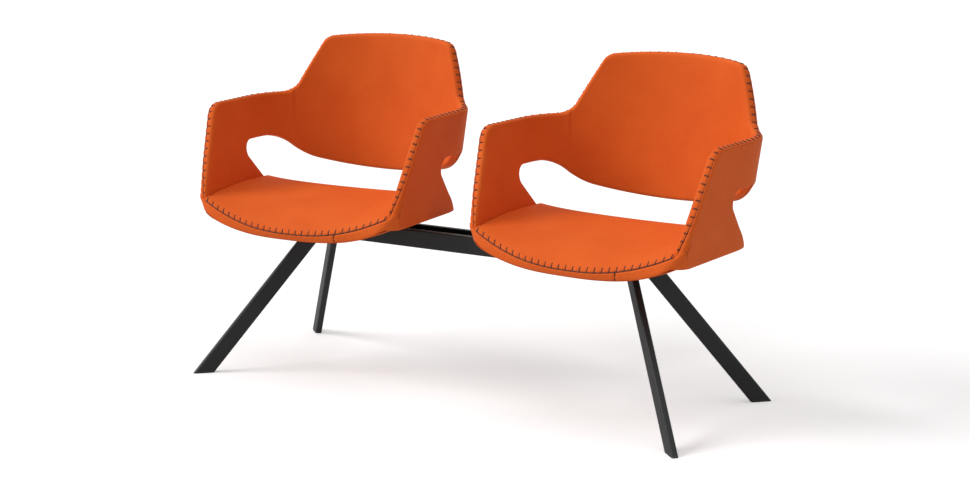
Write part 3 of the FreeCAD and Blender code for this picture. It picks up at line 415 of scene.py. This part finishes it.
def cover_form(places, inner):
    """Arrays s and t of a cover with its crown, taper, puckers and upright seams."""
    s, t = profile_arrays(places)
    depth = np.array([p[2] for p in places])
    shown = np.ones(len(places), bool)
    if inner:
        shown[-4:] = False
    else:
        shown[:2] = shown[-2:] = False
    at_rim = (np.array([p[1] == 1 for p in places]) & shown)[None, :]
    near_seam = at_rim & (np.abs(depth - SEAM_DEPTH) < PUCKER_REACH)[None, :]
    middle = SEAM_DEPTH - (3.5 if inner else -3.0)
    fall = np.exp(-((depth - middle) / PUCKER_WIDTH) ** 2)[None, :]
    puff = stitch_wave(RIM)[:, None]
    lift = np.where(near_seam, fall * (PUCKER_HEIGHT * puff - PUCKER_DRAW), 0.0)
    band = band_share()[:, None]
    if not inner:
        wide = (SHELL_THICKNESS - SEAM_DEPTH * band) / (SHELL_THICKNESS - SEAM_DEPTH)
        placed = np.where(at_rim, SHELL_THICKNESS - (SHELL_THICKNESS - t) * wide, t)
        back = np.array([min(p[0], 0) if p[1] == 1 else 0 for p in places])[None, :]
        return s + lift + np.where(at_rim, back * 1.1 * (1 - band), 0), placed
    crown = RIM_CROWN * np.sin(math.pi * np.clip(t / SEAM_DEPTH, 0, 1))
    lift = lift * band + np.where(at_rim, crown, 0)
    placed = np.where(at_rim, t * band, t)
    w, z = unrolled(s)
    fade = np.clip((z - COVER_SEAM_LEVEL) / COVER_SEAM_FADE, 0, 1) * (depth < 1)[None, :]
    groove = COVER_SEAM_GROOVE * np.exp(-((w - COVER_SEAM_W) / 2.4) ** 2)
    swell = COVER_SEAM_SWELL * np.exp(-((w - COVER_SEAM_W - 7) / 5) ** 2)
    return s + lift, placed + (groove - swell) * fade


def shell_cover(places, inner):
    """Inner or outer cover of back and arms as one closed mesh."""
    s, t = cover_form(places, inner)
    tuck = 2.5 if inner else 1.2
    points = both_halves(lambda side: tuck_behind_facing(shell_points(side, s, t), tuck))
    return points.reshape(-1, 3), tube_faces(*points.shape[:2])


def front_stations():
    return np.linspace(-SEAT_HALF, SEAT_HALF, int(2 * SEAT_HALF / FRONT_STEP) + 1)


def seam_run():
    """Running length of the front seam from the middle, by x."""
    x = np.linspace(0, SEAT_HALF, 400)
    path = np.stack([x, SEAM_EDGE.at(x)[0], seam_z(x)], -1)
    steps = np.linalg.norm(np.diff(path, axis=0), axis=1)
    return x, np.concatenate([[0], np.cumsum(steps)])


RUN_X, RUN_LENGTH = seam_run()


def hermite(p0, p1, m0, m1, share):
    t = share[:, None]
    return ((2 * t ** 3 - 3 * t ** 2 + 1) * p0 + (t ** 3 - 2 * t ** 2 + t) * m0
            + (-2 * t ** 3 + 3 * t ** 2) * p1 + (t ** 3 - t ** 2) * m1)


def cushion_profile(x):
    """Section of the seat cover at x, rear, top, front and underneath, as (y, z) rows."""
    u = x / SEAT_HALF
    wave = float(stitch_wave(np.interp(abs(x), RUN_X, RUN_LENGTH)))
    hollow = 1 - u * u
    rear_z = SEAT_TOP_SIDE_LEVEL - SEAT_TOP_DISH * hollow + SEAT_SIDE_LIFT * abs(u) ** 5
    knee_z = rear_z - 2 * SEAT_KNEE_DROP * hollow - .4 * SEAT_SIDE_LIFT * abs(u) ** 5
    seam_y, seam_level = float(SEAM_EDGE.at(x)[0]), float(seam_z(x))
    radius = SEAT_REAR_RADIUS
    rear = [(SEAT_REAR_Y - radius + radius * math.sin(a), rear_z - radius + radius * math.cos(a))
            for a in np.linspace(math.pi / 2, 0, REAR_POINTS + 1)[:-1]]
    top = hermite(np.array([SEAT_REAR_Y - radius, rear_z]), np.array([SEAT_KNEE_Y, knee_z]),
                  np.array([-185, 9.0]), np.array([-185, -16.0 - 6 * hollow]),
                  np.linspace(0, 1, TOP_POINTS))
    drop = knee_z - seam_level
    knee_slope = np.array([-1.1 * (SEAT_KNEE_Y - seam_y), -(16.0 + 6 * hollow) * .6])
    front = hermite(top[-1], np.array([seam_y + .8, seam_level + .4]), knee_slope,
                    np.array([-9.0 - .1 * drop, -drop * 1.3 - 24.0]),
                    np.linspace(0, 1, FRONT_POINTS + 1)[1:])
    puff = np.exp(-((front[:, 1] - seam_level - 5.0) / 5.0) ** 2)
    front[:, 0] -= puff * (2.3 * wave - .9)
    bed = float(pan_z(x)) + 11.6
    nose = float(pan_front_z(x)) + 3.4
    under = [(seam_y + 4, seam_level + .2), (float(BOTTOM_EDGE.at(x)[0]) + 9, nose), (-185.0, bed)]
    flat = [(y, bed) for y in np.linspace(-185, SEAT_REAR_Y, 12)[1:]]
    return np.array(rear + [tuple(p) for p in top] + [tuple(p) for p in front] + under + flat)


def cushion():
    """Seat cover: dished top, knee and waterfall down to the stitched front seam."""
    rows = []
    for x in front_stations():
        u = x / SEAT_HALF
        y, z = cushion_profile(x).T
        edge = np.clip((abs(x) - (SEAT_HALF - SEAT_EDGE_RADIUS)) / SEAT_EDGE_RADIUS, 0, 1)
        rounding = 5.0 * (1 - math.sqrt(1 - min(edge, .995) ** 2))
        fullness = SEAT_CROWN * (1 - abs(u) ** 3) * np.exp(-((y - 5) / 95.0) ** 2)
        topside = np.arange(len(z)) < REAR_POINTS + TOP_POINTS + 30
        z = z + np.where(topside, fullness - rounding, 0)
        rows.append(np.stack([u * (side_x(z) - FIT_GAP), y, z], -1))
    points = np.array(rows)
    return points.reshape(-1, 3), tube_faces(*points.shape[:2])


def corner_stations(side):
    """Places along X of the band's top and bottom edges round one corner."""
    stations = []
    for share in np.linspace(0.04, 1, CORNER_ROWS):
        pair = []
        for edge in (SEAM_EDGE, BOTTOM_EDGE):
            first = float(edge.at(edge.half)[1])
            turn = first + (math.pi / 2 - first) * share
            reach = (math.sin(turn) - math.sin(first)) / (1 - math.sin(first))
            pair.append(side * (edge.half + reach * (edge.centre_x + edge.radius - edge.half)))
        stations.append((*pair, True))
    return stations[::side]


def band_row(top_x, low_x, corner):
    """One upright section of the front band: its outer face from below, then its inner face."""
    top_y, top_turn = (float(v) for v in SEAM_EDGE.at(top_x))
    low_y, low_turn = (float(v) for v in BOTTOM_EDGE.at(low_x))
    top_z = float(seam_z(top_x)) - .3
    dip = BAND_DIP * math.exp(-((abs(low_x) - BAND_DIP_X) / BAND_DIP_WIDTH) ** 2)
    low_z = float(pan_front_z(low_x)) + .4 - dip
    blend = 0.0
    if corner:
        shift_top = outer_side_x(top_z) - outer_side_x(SEAM_SIDE_LEVEL)
        shift_low = outer_side_x(low_z) - outer_side_x(SHELL_BOTTOM_LEVEL)
        over = (abs(top_x) - SEAT_HALF) / (outer_side_x(SEAM_SIDE_LEVEL) - SEAT_HALF)
        blend = np.clip(over, 0, 1)
        base_top = side_x(top_z) - side_x(SEAM_SIDE_LEVEL)
        base_low = side_x(low_z) - FIT_GAP - SEAT_HALF
        tx = math.copysign(abs(top_x) + shift_top * blend + base_top * (1 - blend), top_x)
        bx = math.copysign(abs(low_x) + shift_low * blend + base_low * (1 - blend), low_x)
    else:
        tx = top_x / SEAT_HALF * (side_x(top_z) - FIT_GAP)
        bx = low_x / SEAT_HALF * (side_x(low_z) - FIT_GAP)
    top, low = np.array([tx, top_y, top_z]), np.array([bx, low_y, low_z])
    top_in = np.array([-math.sin(top_turn), math.cos(top_turn), 0])
    low_in = np.array([-math.sin(low_turn), math.cos(low_turn), 0])
    inwards = (top_in + low_in) / np.linalg.norm(top_in + low_in)
    wave = float(stitch_wave(np.interp(abs(top_x), RUN_X, RUN_LENGTH)))
    joint = math.exp(-((top_x - BAND_JOINT_X) / 2.4) ** 2)
    line = []
    for k in np.linspace(0, 1, BAND_COLUMNS):
        bulge = (BAND_BULGE * 4 * k * (1 - k)
                 + BAND_PUCKER * wave * math.exp(-((k - .82) / .14) ** 2))
        roll = BAND_ROLL * (max(0.0, (k - .86) / .14) ** 2 + max(0.0, (.14 - k) / .14) ** 2)
        deep = (roll - bulge + BAND_JOINT_GROOVE * joint) * (1 - blend)
        line.append(low + (top - low) * k + inwards * deep)
    return np.array(line + [top + top_in * BAND_THICKNESS, low + low_in * BAND_THICKNESS])


def front_band():
    """Outer cover in front of the cushion, rounded into the arms' outer faces."""
    stations = [(x, x, False) for x in front_stations()]
    stations = corner_stations(-1) + stations + corner_stations(1)
    points = np.array([band_row(*station) for station in stations])
    return points.reshape(-1, 3), tube_faces(*points.shape[:2])


def underside():
    """Lining that closes the seat from below, thinned to its edges."""
    rows = []
    half = side_x(SHELL_BOTTOM_LEVEL) + 4.0
    turn_y = PAN_FRONT_RISE_Y + 14
    for x in np.linspace(-half, half, 120):
        front_y, level = float(BOTTOM_EDGE.at(x)[0]), float(pan_z(x))
        y = np.concatenate([np.linspace(SEAT_REAR_Y - 12, PAN_FRONT_RISE_Y, 60),
                            np.linspace(PAN_FRONT_RISE_Y, front_y + 1.0, 16)[1:]])
        blend = np.clip((turn_y - y) / (turn_y - front_y), 0, 1)
        z = level + (float(pan_front_z(x)) - level) * blend ** 1.15
        sag = .175 * np.sin(x / 21.0 + y / 37.0) * np.sin(y / 29.0 + 1.3)
        sag *= np.exp(-(x / 230.0) ** 4)
        edge = np.minimum(y - front_y - 1.0, half - abs(x))
        thin = LINING_THINNING * np.clip(1 - edge / LINING_ROLL, 0, 1) ** 2
        low = np.stack([np.full_like(y, x), y, z - LINING_THICKNESS + thin + sag], -1)
        high = np.stack([np.full_like(y, x), y, z - .2], -1)[::-1]
        rows.append(np.concatenate([low, high]))
    points = np.array(rows)
    return points.reshape(-1, 3), tube_faces(*points.shape[:2])


def thread_tube(path, radius, sides=6):
    """Vertices and faces of a thread along a path."""
    path = np.asarray(path, float)
    tangent = np.gradient(path, axis=0)
    tangent /= np.linalg.norm(tangent, axis=1)[:, None]
    a = np.cross(tangent, np.array([0.31, 0.52, 0.79]))
    a /= np.linalg.norm(a, axis=1)[:, None]
    b = np.cross(tangent, a)
    turn = np.arange(sides)[None, :, None] * 2 * math.pi / sides
    ring = radius * (np.cos(turn) * a[:, None, :] + np.sin(turn) * b[:, None, :])
    points = path[:, None, :] + ring
    return points.reshape(-1, 3), tube_faces(len(path), sides)


def rim_path(side, run, places, lift=0.0):
    """Path across the rim at one running length, from (depth, distance back) places."""
    w, z = (np.interp(run, RIM, OUTER[:, k]) for k in (0, 1))
    w2, z2 = (np.interp(run, RIM, INNER[:, k]) for k in (0, 1))
    size = math.hypot(w - w2, z - z2)
    band = np.interp(run, RIM, band_share())
    points = []
    for depth, back in places:
        crown = RIM_CROWN * math.sin(math.pi * min(max(depth / SEAM_DEPTH, 0), 1))
        share = (size - back + lift + crown) / size
        p = wall(w2 + (w - w2) * share, z2 + (z - z2) * share, depth * band)
        points.append([side * p[0], p[1], p[2]])
    return np.array(points)


def rim_end():
    """Running length at which the rim meets the front band's seam."""
    points = shell_points(1, SPAN[:, None], np.full((len(SPAN), 1), SEAM_DEPTH))[:, 0]
    low = (points[:, 2] < seam_z(np.minimum(points[:, 0], 300.0))) & (RIM > 500)
    return RIM[np.argmax(low)] if low.any() else RIM[-1]


def spread(amount):
    return (random.random() - .5) * amount


def rim_stitch(side, run):
    """Path of one stitch over the rim band, with both ends sunk into the cover."""
    length = STITCH_LENGTH + spread(STITCH_LENGTH_SPREAD)
    depths = [SEAM_DEPTH + .6 - length * t for t in np.linspace(0, 1, 7)]
    places = [(d, max(0.0, INNER_RIM_RADIUS - d) ** 2 / 16) for d in depths]
    path = rim_path(side, run, places, .25 + .1 * random.random())
    path[0] = rim_path(side, run, [(SEAM_DEPTH + .5, 1.2)])[0]
    path[-1] = rim_path(side, run, [(places[-1][0], places[-1][1] + 1.5)])[0]
    return path


def rim_thread(side, end):
    """Path of the thread that links the rim's stitches."""
    link = []
    for run in np.arange(0, end, FRONT_STEP):
        back = 1.0 + .45 * float(stitch_wave(np.array(run)))
        link.append(rim_path(side, run, [(SEAM_DEPTH, back)])[0])
    return link


def front_thread():
    """Path of the thread that links the front seam's stitches."""
    return [[x / SEAT_HALF * (side_x(float(seam_z(x))) - FIT_GAP),
             float(SEAM_EDGE.at(x)[0]) + .2, float(seam_z(x)) + .1] for x in front_stations()]


def surface_path(cover_rows, x, heights, lift):
    """Path up the cushion's front from the seam, just proud of the cover."""
    place = (x + SEAT_HALF) / (2 * SEAT_HALF) * (len(cover_rows) - 1)
    i = int(min(max(place, 0), len(cover_rows) - 2))
    row = cover_rows[i] * (1 - place + i) + cover_rows[i + 1] * (place - i)
    start = REAR_POINTS + TOP_POINTS
    climb = row[start - 1:start + FRONT_POINTS][::-1]
    run = np.concatenate([[0], np.cumsum(np.linalg.norm(np.diff(climb, axis=0), axis=1))])
    line = np.stack([np.interp(heights, run, climb[:, k]) for k in range(3)], -1)
    slope = np.gradient(line, axis=0)
    out = np.stack([np.zeros(len(line)), -slope[:, 2], slope[:, 1]], -1)
    out /= np.linalg.norm(out, axis=1)[:, None]
    push = np.full(len(line), lift)
    push[0] = push[-1] = -.9
    return line + out * push[:, None]


def stitch_paths(cover_rows, band_rows):
    """Every thread's path and radius: rim, front seam and the band's upright joint."""
    end = rim_end()
    steps = int(end / STITCH_PITCH)
    for side in (-1, 1):
        for k in range(0 if side > 0 else 1, steps + 1):
            run = k * STITCH_PITCH + spread(STITCH_DRIFT)
            if 0 <= run <= end - 3:
                yield rim_stitch(side, run), THREAD_RADIUS
        yield rim_thread(side, end), THREAD_RADIUS * .9
    total = RUN_LENGTH[-1]
    steps = int(total / STITCH_PITCH)
    for k in range(-steps, steps + 1):
        run = k * STITCH_PITCH + spread(STITCH_DRIFT)
        if abs(run) > total - 4:
            continue
        x = math.copysign(np.interp(abs(run), RUN_LENGTH, RUN_X), run)
        length = STITCH_LENGTH + spread(STITCH_LENGTH_SPREAD)
        yield surface_path(cover_rows, x, np.linspace(.2, length, 9), .3), THREAD_RADIUS
    yield front_thread(), THREAD_RADIUS * .9
    share = (BAND_JOINT_X + SEAT_HALF) / (2 * SEAT_HALF)
    joint = band_rows[CORNER_ROWS + round(share * (len(cover_rows) - 1))]
    for low, high in ((1, 5), (7, 12)):
        yield joint[low:high + 1] + np.array([0, -.9, 0]), THREAD_RADIUS * .8


def stitching(cover_rows, band_rows):
    """Blanket stitches and the threads that link them, as one mesh."""
    vertices, faces, count = [], [], 0
    for path, radius in stitch_paths(cover_rows, band_rows):
        v, f = thread_tube(path, radius)
        vertices.append(v)
        faces.extend(tuple(i + count for i in face) for face in f)
        count += len(v)
    return np.concatenate(vertices), faces


# Materials

def shader(name):
    material = bpy.data.materials.new(name)
    material.use_nodes = True
    tree = material.node_tree
    return material, tree, tree.nodes["Principled BSDF"]


def node(tree, kind, **values):
    made = tree.nodes.new(kind)
    for key, value in values.items():
        if key in made.inputs:
            made.inputs[key].default_value = value
        else:
            setattr(made, key, value)
    return made


def noise(tree, scale, detail=4.0, roughness=.5, stretch=None):
    texture = node(tree, "ShaderNodeTexNoise", Scale=scale, Detail=detail, Roughness=roughness)
    source = tree.nodes.new("ShaderNodeTexCoord").outputs["Object"]
    if stretch:
        mapping = tree.nodes.new("ShaderNodeMapping")
        mapping.inputs["Scale"].default_value = stretch
        tree.links.new(source, mapping.inputs["Vector"])
        source = mapping.outputs["Vector"]
    tree.links.new(source, texture.inputs["Vector"])
    return texture.outputs["Fac"]


def ramp(tree, source, stops):
    made = tree.nodes.new("ShaderNodeValToRGB")
    while len(made.color_ramp.elements) < len(stops):
        made.color_ramp.elements.new(0.5)
    for element, (place, colour) in zip(made.color_ramp.elements, stops):
        element.position = place
        element.color = (*colour, 1.0)
    tree.links.new(source, made.inputs["Fac"])
    return made.outputs["Color"]


def blend_colours(tree, mode, factor, a, b):
    made = tree.nodes.new("ShaderNodeMix")
    made.data_type, made.blend_type = "RGBA", mode
    made.inputs["Factor"].default_value = factor
    tree.links.new(a, made.inputs[6])
    tree.links.new(b, made.inputs[7])
    return made.outputs[2]


def feed(tree, source, bsdf, name):
    tree.links.new(source, bsdf.inputs[name])


def bump(tree, bsdf, layers):
    """Chain of bumps, each a (height source, strength, distance in metres)."""
    normal = None
    for source, strength, distance in layers:
        made = node(tree, "ShaderNodeBump", Strength=strength, Distance=distance)
        tree.links.new(source, made.inputs["Height"])
        if normal:
            tree.links.new(normal, made.inputs["Normal"])
        normal = made.outputs["Normal"]
    tree.links.new(normal, bsdf.inputs["Normal"])


def to_range(tree, source, low, high):
    made = tree.nodes.new("ShaderNodeMapRange")
    made.inputs["To Min"].default_value = low
    made.inputs["To Max"].default_value = high
    tree.links.new(source, made.inputs["Value"])
    return made.outputs["Result"]


def felt(name, colour, dark, light, sheen):
    """Dense wool felt: matted fibres, a slightly clouded dye and a soft nap."""
    material, tree, bsdf = shader(name)
    clouds = ramp(tree, noise(tree, 9.0, 3.0), [(.3, dark), (.5, colour), (.72, light)])
    fibres = noise(tree, 1500.0, 5.0, .65, (1.0, 1.0, .35))
    fleck = ramp(tree, fibres, [(.3, (.84, .80, .78)), (.55, (1, 1, 1)), (.8, (1.07, 1.1, 1.12))])
    feed(tree, blend_colours(tree, "MULTIPLY", 1.0, clouds, fleck), bsdf, "Base Color")
    feed(tree, to_range(tree, noise(tree, 420.0, 4.0), .62, .82), bsdf, "Roughness")
    bsdf.inputs["Sheen Weight"].default_value = sheen
    bsdf.inputs["Sheen Roughness"].default_value = .42
    bsdf.inputs["Sheen Tint"].default_value = (1.0, .50, .22, 1)
    bsdf.inputs["Specular IOR Level"].default_value = .16
    bump(tree, bsdf, [(fibres, .35, .00022), (noise(tree, 260.0, 4.0, .6), .3, .0004),
                      (noise(tree, 26.0, 2.0), .35, .0016)])
    return material


def thread_material():
    material, tree, bsdf = shader("stitch_thread")
    twist = noise(tree, 900.0, 3.0, .5, (1, 1, 3))
    dye = ramp(tree, twist, [(.3, (.030, .007, .004)), (.7, (.075, .017, .008))])
    feed(tree, dye, bsdf, "Base Color")
    feed(tree, to_range(tree, twist, .5, .8), bsdf, "Roughness")
    bump(tree, bsdf, [(twist, .6, .0003)])
    return material


def powder_coat():
    material, tree, bsdf = shader("anthracite_powder_coat")
    grain = noise(tree, 1400.0, 3.0, .6)
    broad = noise(tree, 7.0, 3.0)
    worn = ramp(tree, broad, [(.3, (.012, .013, .014)), (.7, (.019, .020, .021))])
    speck = ramp(tree, grain, [(.35, (.9, .9, .9)), (.7, (1.12, 1.12, 1.12))])
    feed(tree, blend_colours(tree, "MULTIPLY", 1.0, worn, speck), bsdf, "Base Color")
    feed(tree, to_range(tree, noise(tree, 60.0, 4.0), .42, .56), bsdf, "Roughness")
    bsdf.inputs["Specular IOR Level"].default_value = .30
    bump(tree, bsdf, [(grain, .22, .00025), (noise(tree, 300.0, 3.0), .15, .0004)])
    return material


def zinc():
    material, tree, bsdf = shader("zinc_plated_steel")
    cloud = noise(tree, 130.0, 4.0)
    plating = ramp(tree, cloud, [(.3, (.42, .43, .45)), (.7, (.66, .66, .62))])
    feed(tree, plating, bsdf, "Base Color")
    bsdf.inputs["Metallic"].default_value = 1.0
    feed(tree, to_range(tree, noise(tree, 500.0, 4.0), .25, .45), bsdf, "Roughness")
    bump(tree, bsdf, [(noise(tree, 900.0, 3.0), .15, .0002)])
    return material


def nylon():
    material, tree, bsdf = shader("black_nylon")
    pores = noise(tree, 700.0, 3.0)
    black = ramp(tree, pores, [(.3, (.010, .010, .011)), (.7, (.02, .02, .021))])
    feed(tree, black, bsdf, "Base Color")
    feed(tree, to_range(tree, pores, .5, .7), bsdf, "Roughness")
    bump(tree, bsdf, [(pores, .3, .0003)])
    return material


def beech():
    material, tree, bsdf = shader("moulded_beech_plywood")
    grain = noise(tree, 40.0, 6.0, .6, (.4, 9.0, 9.0))
    flecks = noise(tree, 420.0, 2.0, .5, (1, .2, 1))
    wood = [(.25, (.42, .26, .13)), (.55, (.60, .42, .24)), (.8, (.70, .52, .33))]
    base = ramp(tree, grain, wood)
    mark = ramp(tree, flecks, [(.35, (.82, .76, .7)), (.6, (1, 1, 1))])
    feed(tree, blend_colours(tree, "MULTIPLY", 1.0, base, mark), bsdf, "Base Color")
    feed(tree, to_range(tree, grain, .45, .65), bsdf, "Roughness")
    bump(tree, bsdf, [(grain, .3, .0004)])
    return material


# Pieces

COVER = felt("orange_felt", (.79, .126, .015), (.76, .114, .013), (.82, .137, .018), .12)
LINING = felt("orange_lining", (.66, .10, .012), (.60, .085, .010), (.72, .115, .014), .08)
THREAD, PAINT, ZINC, NYLON, BEECH = thread_material(), powder_coat(), zinc(), nylon(), beech()
FINISH = {"upholstery": COVER, "underside": LINING, "thread": THREAD, "plywood": BEECH,
          "zinc_steel": ZINC, "frame_paint": PAINT, "glide_plastic": NYLON}

slots = {row["node"]: row["material_slot"] for row in frame["record"]["subparts"]}
for name, cad in frame["nodes"].items():
    cad.data.materials.clear()
    cad.data.materials.append(FINISH[slots[name]])

INNER_COVER = shell_cover(inner_cover_profile(), True)
OUTER_COVER = shell_cover(outer_cover_profile(), False)
CUSHION = cushion()
FRONT_BAND = front_band()
UNDERSIDE = underside()
COVER_ROWS = CUSHION[0].reshape(len(front_stations()), -1, 3)
BAND_ROWS = FRONT_BAND[0].reshape(-1, BAND_COLUMNS + 2, 3)
STITCHES = stitching(COVER_ROWS, BAND_ROWS)

for word, side in (("left", -1), ("right", 1)):
    turn, move = seat_matrix(side)
    for name, made, replaced, material, slot, fill in (
            ("inner_cover", INNER_COVER, "inner_pad", COVER, "upholstery", .8),
            ("outer_cover", OUTER_COVER, "outer_pad", COVER, "upholstery", .8),
            ("seat_cover", CUSHION, "seat_cushion", COVER, "upholstery", .85),
            ("front_band", FRONT_BAND, "front_facing", COVER, "upholstery", .8),
            ("underside_lining", UNDERSIDE, "underside_cover", LINING, "underside", .2),
            ("blanket_stitches", STITCHES, "edge_stitching", THREAD, "thread", None)):
        vertices, faces = made
        piece = new_piece(name + "_" + word, vertices @ turn.T + move, faces)
        piece.data.materials.append(material)
        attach(piece, "root")
        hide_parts(replaced + "_" + word)

# Floor, light and camera

floor_mesh = bpy.data.meshes.new("floor")
floor_mesh.from_pydata([(-40, -40, 0), (40, -40, 0), (40, 40, 0), (-40, 40, 0)], [], [(0, 1, 2, 3)])
floor = bpy.data.objects.new("floor", floor_mesh)
bpy.context.scene.collection.objects.link(floor)
floor_material = bpy.data.materials.new("pale_floor")
floor_material.use_nodes = True
tree = floor_material.node_tree
surface = tree.nodes["Principled BSDF"]
surface.inputs["Base Color"].default_value = (.86, .86, .86, 1)
surface.inputs["Roughness"].default_value = .9
surface.inputs["Specular IOR Level"].default_value = .1
glow = node(tree, "ShaderNodeEmission", Strength=.34)
camera_ray = tree.nodes.new("ShaderNodeLightPath")
dark = tree.nodes.new("ShaderNodeEmission")
dark.inputs["Strength"].default_value = 0.0
pick = tree.nodes.new("ShaderNodeMixShader")
total = tree.nodes.new("ShaderNodeAddShader")
tree.links.new(camera_ray.outputs["Is Camera Ray"], pick.inputs[0])
tree.links.new(dark.outputs[0], pick.inputs[1])
tree.links.new(glow.outputs[0], pick.inputs[2])
tree.links.new(surface.outputs[0], total.inputs[0])
tree.links.new(pick.outputs[0], total.inputs[1])
tree.links.new(total.outputs[0], tree.nodes["Material Output"].inputs["Surface"])
floor_mesh.materials.append(floor_material)

world = bpy.data.worlds.new("studio")
bpy.context.scene.world = world
world.use_nodes = True
tree = world.node_tree
soft = tree.nodes["Background"]
soft.inputs["Color"].default_value = (1, 1, 1, 1)
soft.inputs["Strength"].default_value = .25
white = tree.nodes.new("ShaderNodeBackground")
white.inputs["Color"].default_value = (1, 1, 1, 1)
white.inputs["Strength"].default_value = 1.0
path = tree.nodes.new("ShaderNodeLightPath")
seen = tree.nodes.new("ShaderNodeMath")
seen.operation = "MAXIMUM"
mixed = tree.nodes.new("ShaderNodeMixShader")
tree.links.new(path.outputs["Is Camera Ray"], seen.inputs[0])
tree.links.new(path.outputs["Is Glossy Ray"], seen.inputs[1])
tree.links.new(seen.outputs[0], mixed.inputs[0])
tree.links.new(soft.outputs[0], mixed.inputs[1])
tree.links.new(white.outputs[0], mixed.inputs[2])
tree.links.new(mixed.outputs[0], tree.nodes["World Output"].inputs["Surface"])


def sun(name, direction, strength, angle):
    lamp = bpy.data.lights.new(name, "SUN")
    lamp.energy, lamp.angle = strength, math.radians(angle)
    holder = bpy.data.objects.new(name, lamp)
    holder.rotation_euler = Vector(direction).to_track_quat("Z", "Y").to_euler()
    bpy.context.scene.collection.objects.link(holder)


sun("key", (-.62, -.52, .62), 1.9, 30)
sun("top", (.05, -.15, 1.0), .85, 50)

AZIMUTH, ELEVATION, DISTANCE = math.radians(31.0237), math.radians(12.2333), 4.06508
TARGET = Vector((.474037, -.742042 - ROW_SHIFT * MM, .532671))
SENSOR_WIDTH = 36
FOCAL_WIDTHS = 2033.06 / 970
camera_data = bpy.data.cameras.new("camera")
camera_data.lens = FOCAL_WIDTHS * SENSOR_WIDTH
camera_data.sensor_width = SENSOR_WIDTH
camera = bpy.data.objects.new("camera", camera_data)
away = Vector((math.sin(AZIMUTH) * math.cos(ELEVATION),
               -math.cos(AZIMUTH) * math.cos(ELEVATION), math.sin(ELEVATION)))
camera.location = TARGET + away * DISTANCE
camera.rotation_euler = away.to_track_quat("Z", "Y").to_euler()
bpy.context.scene.collection.objects.link(camera)
bpy.context.scene.camera = camera
bpy.context.scene.view_settings.view_transform = "Standard"
